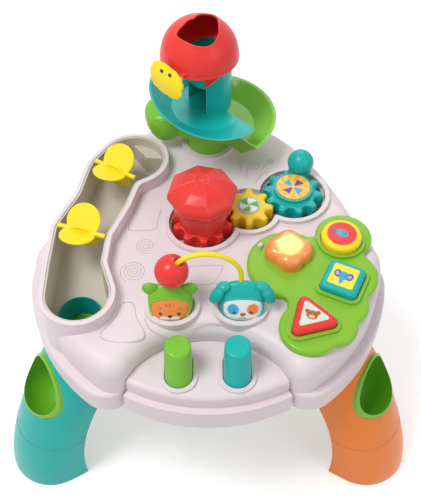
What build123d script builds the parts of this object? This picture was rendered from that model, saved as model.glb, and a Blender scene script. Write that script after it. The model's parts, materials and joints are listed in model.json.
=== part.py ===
from build123d import *
import math
import os

# Toddler's activity table on three legs, in millimetres.
# The plan is laid out about the centre of the round front of the table top,
# with -Y towards the child and +Z up, and is shifted at the end so that
# the origin lies on the floor under the middle of the whole table.

# Levels
rim_z = 218.0            # lower edge of the table body
band_h = 32.0            # height of the wide lower band
top_z = 300.0            # flat table top
deck_z = 272.0           # deck of the key console
plate_z = 226.0          # underside of the base plate

# Walls and clearances
wall = 3.0               # moulded wall of the shells
plate_t = 3.0            # base plate
plate_bridge = 1.5       # overlap of its two parts
fit = 0.4                # gap between seated parts
run = 0.3                # gap beside moving parts
pin_play = 0.08          # gap round a pivot pin

# Plan of the table body
table_r = 215.0          # round front, upper wall
front_half_deg = 84.0    # half the angle of the round front
side_points = ((199.0, 24.0), (184.0, 62.0), (168.0, 100.0), (124.0, 176.0), (62.0, 228.0))
back_y = 242.0
band_out = 11.0          # lower band stands out
shoulder_r = 19.0        # rounding of the top edge
ledge_r = 5.0            # rounding of the band's edge
cavity_chamfer = 13.0    # slope inside under the rounded top edge
lobe_corner_r = 24.0     # rounding of the two front lobes, upper wall

# Key console between the front lobes
zone_mid_y = -123.0      # back of the deck
zone_arch = (84.0, -160.0)
zone_mouth = (115.0, -212.0)
zone_front_y = -260.0
zone_corner_r = 12.0
console_r = 200.0        # front of the deck
console_band_r = 208.0   # front of the console's lower band
console_edge_r = 6.0

# Keys
key_x = 33.5
key_y = -163.0
key_w = 32.0
key_l = 50.0
key_top_w = 30.0
key_top_l = 30.0
key_top_y = -159.0
key_top_z = 318.0
key_travel = 8.0
key_skirt = key_travel + 4.0
key_round = 4.0
spring_wall = 1.2
key_board_l = 2 * key_x + 24
key_board_w = 26.0
key_foot_out = 6.0       # the board's feet, outside the keys
key_foot_r = 3.0
collar_w = 5.0
collar_h = 3.5
key_wall = 2.4
key_board_z = 240.0

# Ball channel along the left side: plan stations of x, y and half width
channel_stations = (
    (-99.0, 133.0, 39.0),
    (-122.0, 112.0, 32.0),
    (-134.0, 60.0, 30.0),
    (-156.0, 8.0, 31.0),
    (-159.0, -45.0, 30.0),
    (-152.0, -88.0, 37.0),
)
channel_smooth = 16.0    # softening of the waist
channel_top_z = 319.0    # top of the channel's raised wall
channel_wall = 5.0
liner_t = 2.2
floor_high = 278.0       # trough floor at the back
floor_low = 250.0        # trough floor at the front
drop_x = -156.0
drop_y = -78.0
drop_r = 27.0
ramp_z = 304.0           # landing under the spout
ramp_cut = ((-106.0, 178.0), (-84.0, 149.0), (-58.0, 146.0))

# Paddle flippers in the channel
paddle_z = 317.0
paddle_disc_r = 22.0
paddle_reach = 13.0      # disc centre from the axle
paddle_t = 3.2
paddle_blades = 3
paddle_first_deg = 39.0
axle_r = 3.2
upper_axle = ((-149.0, 130.0), (-95.0, 98.5))
lower_axle = ((-186.5, 18.5), (-126.0, -1.0))
axle_seat = 1.2          # bearing deeper than the axle's end

# Gear train
module = 7.0
big_teeth = 10
small_teeth = 8
red_at = (-7.0, 33.0)
red_to_yellow_deg = 20.5
yellow_to_teal_deg = 24.5
gear_bottom_z = 292.0
gear_h = 20.0
tip_add = 3.0
root_ded = 5.2
tooth_share = 0.40       # tooth width at the pitch circle, share of the pitch
tip_share = 0.27
tooth_round = 1.6
gear_edge_r = 3.0        # rounding of a gear's top edge
well_gap = 4.5           # from tooth tips to the well's wall
well_floor_z = 288.0
well_floor_t = 2.4
well_rim_w = 5.5
well_rim_h = 6.0
post_r = 4.0
post_collar_r = 9.0
hub_cap_t = 3.0
teal_hub_h = 6.0         # raised disc on the teal gear
ear_lift = 1.5           # crank's ear above the teeth
gear_label_r = 22.0
small_label_r = 14.0

# Umbrella knob on the red gear and crank knob on the teal gear
knob_sides = 8
knob_base_r = 32.0
knob_turn_deg = 9.5
knob_wide_r = 45.0
knob_wide_z = 350.0
knob_steps = ((357.0, 45.5), (366.0, 37.0), (373.0, 25.0), (377.0, 12.0), (378.0, 5.0))
knob_wall = 3.0
crank_r = 15.0           # ear under the knob
crank_ball_r = 17.0
crank_ball_z = 327.0
crank_from_centre = 38.0
crank_bearing_deg = 73.0

# Wire arch, bead and the two heads
arch_x = -2.0
arch_y = -87.0
arch_z = 350.0
arch_r = 40.0
wire_r = 3.0
bead_r = 19.5
bead_mouth_r = 6.5       # hollow at each end of the bore
bead_angle_deg = 166.0
head_foot_z = 300.0
head_y = -95.0           # middle of the heads' feet
head_w = 53.0
head_d = 46.0
head_heights = {"left": 41.0, "right": 47.0}
head_foot_h = 5.0
hood_back = 6.0          # hood of a head behind the middle of its foot
hood_half_w = 24.5
hood_half_d = 15.0
muzzle = (25.0, 20.5, 34.0)
dome_full = 0.75         # below 1 the domes have fuller shoulders
dome_turns = (0, 22, 43, 61, 75, 84)
ear_t = 11.0
ears = {"left": (23.0, 31.0, 9.0), "right": (27.0, 27.0, 11.0)}
head_collar_w = 6.0
head_collar_h = 6.0
face_tilt_deg = 32.0
face_t = 2.0
face_back = 1.5          # how far the face is cut into the head's foot
wire_seat = 14.0         # length of wire inside a head
wire_lock = 8.0          # deeper in the left head

# Control panel: round lobes of x, y and radius
panel_lobes = (
    (97.0, -35.0, 50.0),
    (168.0, 8.0, 35.0),
    (166.0, -53.0, 38.0),
    (158.0, -95.0, 30.0),
    (146.0, -125.0, 26.0),
    (117.0, -127.0, 36.0),
    (120.0, -92.0, 27.0),
)
panel_smooth = 7.0
panel_h = 9.0
panel_edge_r = 4.0
panel_seat = 7.0         # ledge of table top under the panel
panel_wall = 3.0
ring_w = 4.0
ring_h = 4.0
button_gap = 0.8
button_travel = 3.0
button_skirt = button_travel + 2.0
button_h = 13.0          # button top above the panel
button_round = 5.0
button_wall = 2.4
stem_r = 5.0
round_button_at = (163.5, -0.5)
round_button_r = 25.0
square_button_at = (159.0, -66.0)
square_button_side = 45.0
square_button_turn = -25.0
triangle_button_at = (117.5, -120.5)
triangle_button_r = 36.5
triangle_button_turn = -15.0
corner_r = 7.0
label_t = 1.0
label_inset = 7.0
label_corner_r = 2.5
flower_at = (98.0, -22.0)
flower_petal_r = 16.5
flower_petal_from = 12.5
flower_petals = 4
flower_h = 19.0
flower_wall = 2.2
core_r = 14.0
peg_at = (64.0, -10.5)
peg_r = 3.4
peg_h = 9.0

# Circuit board and what is on it
board_z = 281.0
board_t = 1.6
board_low = (86.0, -134.0)
board_high = (176.0, 18.0)
board_gap = 4.0          # board to the body's wall
dome_r = 7.0
dome_h = 5.0
board_post_r = 4.0
board_posts = ((92.0, -70.0), (176.0, -30.0), (150.0, -104.0))
speaker_at = (60.0, -60.0)
speaker_r = 25.0
speaker_h = 16.0
speaker_holes = 3
speaker_pitch = 6.0
speaker_slot_w = 3.0
speaker_rim_h = 4.0
magnet_r = 0.55 * speaker_r

# Battery compartment in the base plate
battery_at = (0.0, 50.0)
battery_r = 7.1
battery_l = 50.5
battery_count = 3
battery_pitch = 16.0
battery_wall = 2.0
door_t = 2.4
door_lip = 4.0
contact_t = 0.8
contact_side = 10.0
contact_nub_r = 3.5
contact_nub_l = 1.6
contact_nub_in = 1.2      # nub's middle, inwards of its plate

# Power switch on the right side of the body
switch_at = (197.6, 27.0)
switch_turn_deg = 24.8   # square to the wall there
switch_z = 262.0
switch_slot_l = 22.0
switch_slot_h = 8.0
switch_travel = 6.0
switch_nub_l = 10.0
switch_plate_t = 2.4

# Legs: stations of height, nose radius, inner edge radius and half width
leg_stations = (
    (0.0, 309.0, 226.0, 57.0),
    (60.0, 297.0, 224.0, 55.5),
    (115.0, 277.0, 208.0, 53.5),
    (170.0, 251.0, 178.0, 51.0),
    (228.0, 214.0, 142.0, 48.0),
)
leg_wall = 3.0
leg_angles = {"left": -60.0, "right": 60.0, "rear": 180.0}
socket_wall = 3.0
socket_drop = 5.0
leg_boss_r = 5.5
leg_boss_h = 16.0
leg_boss_reach = 56.0    # boss behind the nose of the leg's top
leg_boss_side = 41.0

# Ball cups in the legs
cup_at_r = 234.0
cup_z = 157.0
cup_radial = 40.0
cup_side = 41.0
cup_height = 52.0
cup_t = 2.4
cup_lip = 3.5
throat_top = (178.0, 40.0, 33.0)    # radius from the middle and half axes
throat_end = (220.0, 34.0, 30.0)
throat_end_z = 172.0

# Tower at the back
tower_at = (0.0, 183.0)
column_r = 29.0
tower_collar_w = 7.0
tower_collar_h = 5.0
green_dish_at = (4.0, 178.0)
green_dish_r = 86.0
green_rim_z = 354.0
green_floor_z = 338.0
green_under_r = 60.0
green_under_z = 328.0
green_front = (          # plan of the front, where the dish is left out
    (100.0, 96.0), (68.0, 111.0), (51.0, 124.0), (28.0, 149.0), (-20.0, 155.0),
    (-46.0, 169.0), (-72.0, 204.0), (-130.0, 204.0), (-130.0, 60.0), (100.0, 60.0),
)
green_front_r = 6.0
spout_rim_at = (-57.0, 191.0)
spout_foot_at = (-57.0, 183.0)
spout_r = 27.0
spout_foot_r = 18.0
spout_foot_z = 320.5
spout_exit_w = 30.0
spout_exit_h = 22.0
spout_exit_deg = 235.0
dish_wall = 3.0
teal_dish_at = (-2.0, 167.0)
teal_rim = (78.0, 68.0)  # half axes of the oval rim
teal_foot = (50.0, 46.0)
teal_turn_deg = -38.0    # the long axis points at the pouring corner
teal_tilt_deg = 10.0     # dip of the rim towards that corner
teal_rim_z = 396.0
teal_floor_z = 379.0
teal_under_z = 375.0
teal_exit_at = (22.9, 160.0)
teal_exit_deg = 41.8     # bearing at which the pouring edge faces
drum_at = (2.0, 180.0)
drum_r = 28.0
drum_top_z = 457.6
drum_door_deg = 215.0
drum_door_w = 40.0
drum_door_h = 40.0
hood_at = (-10.5, 178.0)
hood_r = 48.5
hood_rim_z = 458.0
hood_crown = 0.93        # height of the dome over its radius
hood_wall = 2.6
hood_mouth_at = (-9.0, 175.0)
hood_mouth_r = 39.0
hood_mouth_turn = 30.0
chute_t = 2.6            # skirt of the hood outside the drum
chute_z = 423.0
chute_open_x = -4.0
flap_deg = 232.0         # bearing of the flap from the hood's centre
flap_w = 31.0
flap_l = 38.0
flap_middle = -13.0
flap_lobes = (
    (-12.0, 5.0, 6.5), (0.0, 5.5, 5.5), (12.0, 4.5, 7.0), (-15.0, -9.0, 5.0), (15.0, -10.0, 5.5),
    (-14.0, -22.0, 5.0), (14.5, -24.0, 5.5), (-8.0, -32.0, 6.5), (8.5, -33.0, 7.0),
)
flap_t = 3.0
flap_lean = 16.0
flap_slot = 5.0
flap_stand = 4.0         # inner face of the flap from its pin
flap_pin_r = 1.5
flap_pin_l = 30.0
flap_ear = 6.0

# Screws
screw_r = 2.0
screw_head_r = 3.6
screw_head_h = 2.4
screw_l = 14.0
boss_r = 5.0
body_bosses = ((-85.0, -112.0), (70.0, -105.0), (-85.0, 45.0), (60.0, 150.0), (-45.0, 212.0), (162.0, 66.0))


def polar(radius, degrees):
    """Plan point at a bearing that is counted from -Y towards +X."""
    a = math.radians(degrees)
    return (radius * math.sin(a), -radius * math.cos(a))


def pushed(point, grow):
    """The point moved away from the plan's centre."""
    share = 1 + grow / math.hypot(*point)
    return (point[0] * share, point[1] * share)


def at(point, z=0.0):
    return Pos(point[0], point[1], z)


def disc(point, radius):
    return at(point) * Circle(radius)


def slab(face, low, high):
    """The face as a block between two levels."""
    return extrude(Pos(0, 0, low) * face, high - low)


def top_edges(block):
    return block.edges().group_by(Axis.Z)[-1]


def bottom_edges(block):
    return block.edges().group_by(Axis.Z)[0]


def merged(pieces):
    """All the pieces as one shape."""
    whole = pieces[0]
    for piece in pieces[1:]:
        whole = whole + piece
    return whole


# Body

def outline(grow):
    """Plan of the table: a round front and a softly waved back."""
    start = polar(table_r + grow, front_half_deg)
    a = math.radians(front_half_deg)
    side = [pushed(p, grow) for p in side_points]
    far = [(-x, y) for x, y in reversed(side)]
    route = [start, *side, (0, back_y + grow), *far, (-start[0], start[1])]
    ends = [(math.cos(a), math.sin(a)), (math.cos(a), -math.sin(a))]
    back = Spline(*route, tangents=ends)
    front = ThreePointArc(route[-1], (0, -table_r - grow), start)
    return make_face([back, front])


def zone(inset=0.0):
    """Plan of the gap between the front lobes, which holds the console."""
    ax, ay = zone_arch
    mx, my = zone_mouth
    arch = ThreePointArc((-ax, ay), (0, zone_mid_y), (ax, ay))
    sides = Polyline((ax, ay), (mx, my), (mx, zone_front_y), (-mx, zone_front_y), (-mx, my), (-ax, ay))
    face = make_face([arch, sides])
    corners = face.vertices().group_by(Axis.Y)[-1]
    face = fillet(corners, zone_corner_r)
    return offset(face, inset) if inset else face


def body_face(grow, inset=0.0):
    """Plan of the table body without the console's gap, lobes rounded."""
    face = outline(grow - inset) - zone(inset)
    lowest = face.vertices().group_by(Axis.Y)[0]
    return fillet(lowest, lobe_corner_r + grow - inset)


def body_block(inset):
    """The table body as a block, drawn in by inset."""
    upper = slab(body_face(0.0, inset), rim_z - inset, top_z - inset)
    if inset:
        upper = chamfer(top_edges(upper), cavity_chamfer)
    else:
        upper = fillet(top_edges(upper), shoulder_r)
    band = slab(body_face(band_out, inset), rim_z - inset, rim_z + band_h - inset)
    band = fillet(top_edges(band), ledge_r)
    return upper + band


def channel_face(grow):
    """Plan of the ball channel, grown by some wall."""
    spans = []
    for a, b in zip(channel_stations, channel_stations[1:]):
        ends = [disc(s[:2], s[2] + grow) for s in (a, b)]
        spans.append(make_hull([e for end in ends for e in end.edges()]))
    face = merged(spans)
    face = offset(face, channel_smooth)
    return offset(face, -channel_smooth)


def yellow_centre():
    reach = module * (big_teeth + small_teeth) / 2
    a = math.radians(red_to_yellow_deg)
    return (red_at[0] + reach * math.cos(a), red_at[1] + reach * math.sin(a))


def teal_centre():
    reach = module * (big_teeth + small_teeth) / 2
    a = math.radians(yellow_to_teal_deg)
    x, y = yellow_centre()
    return (x + reach * math.cos(a), y + reach * math.sin(a))


def tip_r(teeth):
    return module * teeth / 2 + tip_add


def wells_face(grow):
    """Plan of the three gear wells."""
    gears = ((red_at, big_teeth), (yellow_centre(), small_teeth), (teal_centre(), big_teeth))
    return merged([disc(c, tip_r(n) + well_gap + grow) for c, n in gears])


def panel_face(grow):
    """Plan of the control panel: round lobes run together."""
    face = merged([disc(lobe[:2], lobe[2] + grow) for lobe in panel_lobes])
    face = offset(face, panel_smooth)
    return offset(face, -panel_smooth)


def plate_face(gap):
    """Plan of the base plate, which closes the body and the console."""
    body = body_face(band_out, wall + gap)
    console = console_face(console_band_r - wall - gap, gap - wall - plate_bridge)
    return body + console


def head_places():
    return {"left": arch_x - arch_r, "right": arch_x + arch_r}


def head_face(grow):
    return Ellipse(head_w / 2 + grow, head_d / 2 + grow)


def top_shell():
    """White table top with its skirt, channel wall, wells and collars."""
    shell = body_block(0.0) - body_block(wall)
    liner_out = liner_t + fit
    rail = slab(channel_face(liner_out + channel_wall), rim_z + band_h - wall / 2, channel_top_z)
    shell = shell + rail
    shell = shell + slab(wells_face(well_rim_w), top_z - wall, top_z + well_rim_h)
    shell = shell + slab(disc(tower_at, column_r + fit + tower_collar_w), top_z - wall, top_z + tower_collar_h)
    for x in head_places().values():
        shell = shell + slab(at((x, head_y)) * head_face(fit + head_collar_w), top_z - 2 * wall, top_z + head_collar_h)
    shell = shell - slab(channel_face(liner_out), rim_z, channel_top_z + 1)
    shell = shell - slab(wells_face(0.0), well_floor_z, top_z + well_rim_h + 1)
    shell = shell - slab(disc(tower_at, column_r + fit), top_z, top_z + tower_collar_h + 1)
    shell = shell - slab(disc(tower_at, screw_r), top_z - wall - 1, top_z + 1)
    for x in head_places().values():
        shell = shell - slab(at((x, head_y)) * head_face(fit), head_foot_z, top_z + head_collar_h + 1)
        shell = shell - slab(at((x, head_y)) * Circle(stem_r + fit), rim_z, top_z + 1)
    shell = shell - slab(panel_face(-panel_seat), top_z - wall - 1, top_z + 1)
    for shape in button_faces.values():
        shell = shell - slab(shape(button_gap), top_z - wall - 1, top_z + 1)
    shell = shell - slab(plate_face(-fit), rim_z - 1, plate_z + plate_t + fit)
    shell = shell - switch_hole()
    for boss in body_bosses:
        post = slab(disc(boss, boss_r), plate_z + plate_t, top_z - wall)
        shell = shell + post - slab(disc(boss, screw_r), plate_z, plate_z + plate_t + screw_l)
    return shell


def base_plate():
    """Underside of the table with the leg sockets and battery opening."""
    plate = slab(plate_face(fit), plate_z, plate_z + plate_t)
    for angle in leg_angles.values():
        ring = leg_block(socket_wall + fit) & slab(Circle(2 * table_r), plate_z - socket_drop, plate_z)
        ring = ring - leg_block(fit)
        plate = plate + Rot(0, 0, angle) * ring
    plate = plate - slab(disc((drop_x, drop_y), drop_r + liner_t + fit), plate_z - 1, plate_z + plate_t + 1)
    plate = plate - door_opening()
    for boss in body_bosses:
        plate = plate - slab(disc(boss, screw_r), plate_z - 1, plate_z + plate_t + 1)
    for angle in leg_angles.values():
        for spot in leg_screw_spots():
            plate = plate - Rot(0, 0, angle) * slab(disc(spot, screw_r), plate_z - 1, plate_z + plate_t + 1)
    for k in range(-speaker_holes, speaker_holes + 1):
        aside = speaker_pitch * k
        slot_l = 2 * math.sqrt(speaker_r ** 2 - aside ** 2) - speaker_pitch
        hole = at((speaker_at[0] + aside, speaker_at[1])) * SlotOverall(slot_l, speaker_slot_w, rotation=90)
        plate = plate - slab(hole, plate_z - 1, plate_z + plate_t + 1)
    return plate


# Console and keys

def console_face(radius, inset):
    return Circle(radius) & zone(-inset)


def key_faces(grow):
    """Foot and top outlines of a key, which narrows upwards."""
    foot = at((0, key_y)) * SlotOverall(key_l + 2 * grow, key_w + 2 * grow, rotation=90)
    head = at((0, key_top_y)) * SlotOverall(
        key_top_l + 2 * grow + 0.5, key_top_w + 2 * grow, rotation=90)
    return foot, head


def key_console():
    """Lower deck between the lobes, with a collar round each key."""
    upper = slab(console_face(console_r, fit), rim_z, deck_z)
    front = [e for e in top_edges(upper) if e.center().Y < -0.95 * console_r]
    upper = fillet(front, console_edge_r)
    lower = slab(console_face(console_band_r, fit), rim_z, rim_z + band_h)
    block = upper + lower
    inside = slab(console_face(console_r - wall, fit + wall), rim_z - 1, deck_z - wall)
    inside = inside + slab(console_face(console_band_r - wall, fit + wall), rim_z - 1, rim_z + band_h - wall)
    block = block - inside
    block = block - slab(plate_face(-fit), rim_z - 1, plate_z + plate_t + fit)
    foot, head = key_faces(button_gap + collar_w)
    hole, head = key_faces(button_gap)
    for x in (-key_x, key_x):
        block = block + Pos(x, 0, 0) * slab(foot, deck_z - wall, deck_z + collar_h)
        block = block - Pos(x, 0, 0) * slab(hole, rim_z, deck_z + collar_h + 1)
    return block


def key(x):
    """A hollow key on a straight skirt that slides in the deck."""
    foot, head = key_faces(0.0)
    low = deck_z - key_skirt
    solid = slab(foot, low, deck_z + collar_h)
    tower = loft([Pos(0, 0, deck_z + collar_h) * foot, Pos(0, 0, key_top_z) * head])
    tower = fillet(top_edges(tower), key_round)
    foot_in, head_in = key_faces(-key_wall)
    inner = slab(foot_in, low, deck_z + collar_h)
    room = loft([Pos(0, 0, deck_z + collar_h) * foot_in, Pos(0, 0, key_top_z - key_wall - 1) * head_in])
    body = solid + tower - inner - room
    stem = slab(disc((0, key_top_y), stem_r), deck_z + run, key_top_z - key_wall)
    return Pos(x, 0, 0) * (body + stem)


def key_spring(x):
    """Return spring under a key, between the board and the key's stem."""
    ring = Circle(stem_r) - Circle(stem_r - spring_wall)
    return Pos(x, key_top_y, 0) * slab(ring, key_board_z + board_t, deck_z)


def key_board():
    """Small switch board under the two keys, on two posts."""
    board = slab(at((0, key_top_y)) * Rectangle(key_board_l, key_board_w), key_board_z, key_board_z + board_t)
    for x in (-key_x - key_foot_out, key_x + key_foot_out):
        board = board + slab(disc((x, key_top_y), key_foot_r), plate_z + plate_t, key_board_z)
    return board


# Ball channel

def floor_cutter(drop):
    """Everything below the sloping trough floor, lowered by drop."""
    back = channel_stations[0][1] + channel_stations[0][2]
    front = channel_stations[-1][1] - channel_stations[-1][2]
    rise = (floor_high - floor_low) / (back - front)
    far = 60.0
    high = floor_high + rise * far - drop
    low = floor_low - rise * far - drop
    side = Polyline((back + far, high), (front - far, low), (front - far, 150), (back + far, 150), close=True)
    profile = Plane.YZ * make_face(side)
    return extrude(profile, 2 * table_r, both=True)


def ball_channel():
    """Grey trough with a sloping floor, a landing and a drop tube."""
    outer = slab(channel_face(liner_t), rim_z, channel_top_z - 1.0) - floor_cutter(liner_t)
    inner = slab(channel_face(0.0), rim_z, channel_top_z + 1) - floor_cutter(0.0)
    trough = outer - inner
    x0, y0 = ramp_cut[0]
    ramp_side = make_face(Polyline(*ramp_cut, (-20, 146), (-20, 200), (x0, 200), close=True))
    landing = slab(channel_face(0.0) & ramp_side, floor_high - 12, ramp_z)
    trough = trough + landing
    tube = slab(disc((drop_x, drop_y), drop_r + liner_t), plate_z, floor_low + 10) - inner
    trough = trough + tube
    trough = trough - slab(disc((drop_x, drop_y), drop_r), plate_z - 1, floor_low + 20)
    for ends in (upper_axle, lower_axle):
        trough = trough - axle_rod(ends, axle_r + pin_play, axle_seat)
    return trough


def axle_rod(ends, radius, extra):
    """Rod through the two axle ends, made longer at both."""
    (x0, y0), (x1, y1) = ends
    length = math.hypot(x1 - x0, y1 - y0)
    angle = math.degrees(math.atan2(y1 - y0, x1 - x0))
    rod = Cylinder(radius, length + 2 * extra, rotation=(0, 90, 0))
    return Pos((x0 + x1) / 2, (y0 + y1) / 2, paddle_z) * Rot(0, 0, angle) * rod


def flipper(ends):
    """Paddle wheel of three round blades on one axle."""
    (x0, y0), (x1, y1) = ends
    angle = math.degrees(math.atan2(y1 - y0, x1 - x0))
    blade = Pos(0, paddle_reach, 0) * Cylinder(paddle_disc_r, paddle_t)
    blade = fillet(blade.edges(), paddle_t / 2 - 0.2)
    wheel = axle_rod(ends, axle_r, 0.0)
    for k in range(paddle_blades):
        turn = paddle_first_deg + 360.0 / paddle_blades * k
        place = Pos((x0 + x1) / 2, (y0 + y1) / 2, paddle_z) * Rot(0, 0, angle) * Rot(turn, 0, 0)
        wheel = wheel + place * blade
    return wheel


# Gears

def gear_face(teeth, phase):
    """Chunky gear outline with straight flanks and rounded teeth."""
    pitch_r = module * teeth / 2
    step = 2 * math.pi / teeth
    half = step * tooth_share / 2
    tip_half = step * tip_share / 2
    root_half = step * 0.5 - half * 0.75
    points = []
    for k in range(teeth):
        a = phase + k * step
        for turn, radius in (
            (-root_half, pitch_r - root_ded), (-tip_half, pitch_r + tip_add),
            (tip_half, pitch_r + tip_add), (root_half, pitch_r - root_ded),
        ):
            points.append((radius * math.cos(a + turn), radius * math.sin(a + turn)))
    face = make_face(Polyline(*points, close=True))
    return fillet(face.vertices(), tooth_round)


def gear(centre, teeth, phase):
    """Gear with a blind bore for its post."""
    high = gear_bottom_z + gear_h
    body = fillet(top_edges(slab(gear_face(teeth, phase), gear_bottom_z, high)), gear_edge_r)
    bore = slab(Circle(post_r + pin_play), gear_bottom_z, high - hub_cap_t)
    return at(centre) * (body - bore)


def crank_spot():
    x, y = teal_centre()
    a = math.radians(crank_bearing_deg)
    return (x + crank_from_centre * math.cos(a), y + crank_from_centre * math.sin(a))


def teal_gear():
    """Teal gear with its raised hub and the ear under the crank knob."""
    high = gear_bottom_z + gear_h
    hub = slab(disc(teal_centre(), gear_label_r + 2.5), high, high + teal_hub_h)
    ear = slab(disc(crank_spot(), crank_r), high + ear_lift, high + teal_hub_h)
    return gear(teal_centre(), big_teeth, phases()[2]) + hub + ear


def phases():
    """Turn of each gear at rest, so that teeth meet gaps."""
    red = math.radians(red_to_yellow_deg)
    yellow = math.radians(red_to_yellow_deg + 180 + 180 / small_teeth)
    toward = math.radians(yellow_to_teal_deg)
    step = 2 * math.pi / small_teeth
    lead = (toward - yellow) / step
    lead = lead - math.floor(lead)
    teal = toward + math.pi + (0.5 + lead) * 2 * math.pi / big_teeth
    return red, yellow, teal


def octagon(radius):
    return RegularPolygon(radius, knob_sides, rotation=knob_turn_deg)


def umbrella_knob():
    """Tall eight sided knob that spreads like an umbrella."""
    low = gear_bottom_z + gear_h
    levels = [(low, knob_base_r), (knob_wide_z, knob_wide_r), *knob_steps]
    body = None
    for (z0, r0), (z1, r1) in zip(levels, levels[1:]):
        part = loft([Pos(0, 0, z0) * octagon(r0), Pos(0, 0, z1) * octagon(r1)], ruled=True)
        body = part if body is None else body + part
    room = loft([
        Pos(0, 0, low) * octagon(knob_base_r - knob_wall),
        Pos(0, 0, knob_wide_z) * octagon(knob_wide_r - knob_wall)], ruled=True)
    return at(red_at) * (body - room)


def crank_knob():
    """Ball handle that stands near the teal gear's edge."""
    low = gear_bottom_z + gear_h + teal_hub_h
    ball = at(crank_spot(), crank_ball_z) * Sphere(crank_ball_r)
    return ball & slab(Circle(3 * table_r), low, crank_ball_z + 2 * crank_ball_r)


def gear_tray():
    """Grey floor and wall of the wells, with the three gear posts."""
    tray = slab(wells_face(-fit), well_floor_z - well_floor_t, top_z - wall + 2)
    tray = tray - slab(wells_face(-fit - well_floor_t), well_floor_z, top_z + 1)
    for centre in (red_at, yellow_centre(), teal_centre()):
        tray = tray + slab(disc(centre, post_collar_r), well_floor_z, gear_bottom_z - run)
        tray = tray + slab(disc(centre, post_r), well_floor_z, gear_bottom_z + gear_h - hub_cap_t - 2)
    return tray


def gear_label(centre, radius, z):
    return slab(disc(centre, radius), z, z + label_t)


# Wire arch, bead and heads

def wire_arch():
    """Bent rod: a half circle on two straight legs."""
    foot = arch_z - wire_seat
    left = (arch_x - arch_r, arch_y)
    right = (arch_x + arch_r, arch_y)
    path = Line((*left, foot - wire_lock), (*left, arch_z))
    path = path + ThreePointArc((*left, arch_z), (arch_x, arch_y, arch_z + arch_r), (*right, arch_z))
    path = path + Line((*right, arch_z), (*right, foot))
    start = Plane(origin=(*left, foot - wire_lock), z_dir=(0, 0, 1))
    return sweep(start * Circle(wire_r), path=path)


def bead():
    """Round bead with a curved bore that follows the arch."""
    a = math.radians(bead_angle_deg)
    spot = (arch_x + arch_r * math.cos(a), arch_y, arch_z + arch_r * math.sin(a))
    ball = Pos(*spot) * Sphere(bead_r)
    middle = Pos(arch_x, arch_y, arch_z)
    ball = ball - middle * Rot(90, 0, 0) * Torus(arch_r, wire_r + run)
    half_turn = math.degrees(2 * math.asin(bead_r / (2 * arch_r)))
    for turn in (bead_angle_deg - half_turn, bead_angle_deg + half_turn):
        a = math.radians(turn)
        ball = ball - middle * Pos(arch_r * math.cos(a), 0, arch_r * math.sin(a)) * Sphere(bead_mouth_r)
    return ball


def dome_on(side, back, half_axes):
    """Half an egg that stands on the heads' foot level, with a tiny flat top."""
    a, b, high = half_axes
    rings = []
    for turn in dome_turns:
        t = math.radians(turn)
        share = math.cos(t) ** dome_full
        rings.append(Pos(0, 0, high * math.sin(t)) * Ellipse(a * share, b * share))
    return Pos(head_places()[side], head_y + back, head_foot_z) * loft(rings)


def head_hood(side):
    return dome_on(side, hood_back, (hood_half_w, hood_half_d, head_heights[side]))


def face_cutter(side, back):
    """Everything in front of the slanted face."""
    x = head_places()[side]
    size = 3 * head_w
    box = Pos(0, 0, size / 2) * Box(size, size, size)
    lift = Pos(x, head_y - head_d / 2 + face_back, head_foot_z)
    return lift * Rot(90 - face_tilt_deg, 0, 0) * Pos(0, 0, -back) * box


def animal_head(side):
    """Hood, ears and muzzle of a head, with the socket for the wire."""
    x = head_places()[side]
    block = slab(at((x, head_y)) * head_face(0.0), head_foot_z, head_foot_z + head_foot_h)
    block = block + dome_on(side, -face_back, muzzle) - face_cutter(side, face_t)
    block = block + head_hood(side)
    reach, level, ear_r = ears[side]
    ear = Cylinder(ear_r, ear_t, rotation=(90, 0, 0))
    ear = fillet(ear.edges().filter_by(GeomType.CIRCLE), 0.45 * ear_t)
    for sign in (-1, 1):
        block = block + Pos(x + sign * reach, head_y + hood_back, head_foot_z + level) * ear
    block = block + slab(disc((x, head_y), stem_r), top_z - 2 * wall - fit, head_foot_z + 1)
    foot = arch_z - wire_seat - (wire_lock if side == "left" else 0)
    return block - slab(disc((x, arch_y), wire_r + pin_play), foot, arch_z)


def face_plate(side):
    """Thin face on the slanted front of a head's muzzle."""
    front = dome_on(side, -face_back, muzzle) & face_cutter(side, face_t)
    return front - face_cutter(side, 0.0) - head_hood(side)


# Control panel

def round_face(grow):
    return at(round_button_at) * Circle(round_button_r + grow)


def square_face(grow):
    side = square_button_side + 2 * grow
    corner = max(corner_r + grow, label_corner_r)
    return at(square_button_at) * RectangleRounded(side, side, corner, rotation=square_button_turn)


def triangle_face(grow):
    shape = RegularPolygon(triangle_button_r + 2 * grow, 3, rotation=triangle_button_turn)
    corner = max(corner_r + grow, label_corner_r)
    return at(triangle_button_at) * fillet(shape.vertices(), corner)


button_faces = {"round": round_face, "square": square_face, "triangle": triangle_face}
button_places = {"round": round_button_at, "square": square_button_at, "triangle": triangle_button_at}


def flower_face(grow):
    """Plan of the light: round petals about a middle disc."""
    petals = [Circle(flower_petal_from + grow)]
    for k in range(flower_petals):
        spot = polar(flower_petal_from, 360.0 / flower_petals * k)
        petals.append(disc(spot, flower_petal_r + grow))
    return at(flower_at) * merged(petals)


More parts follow.
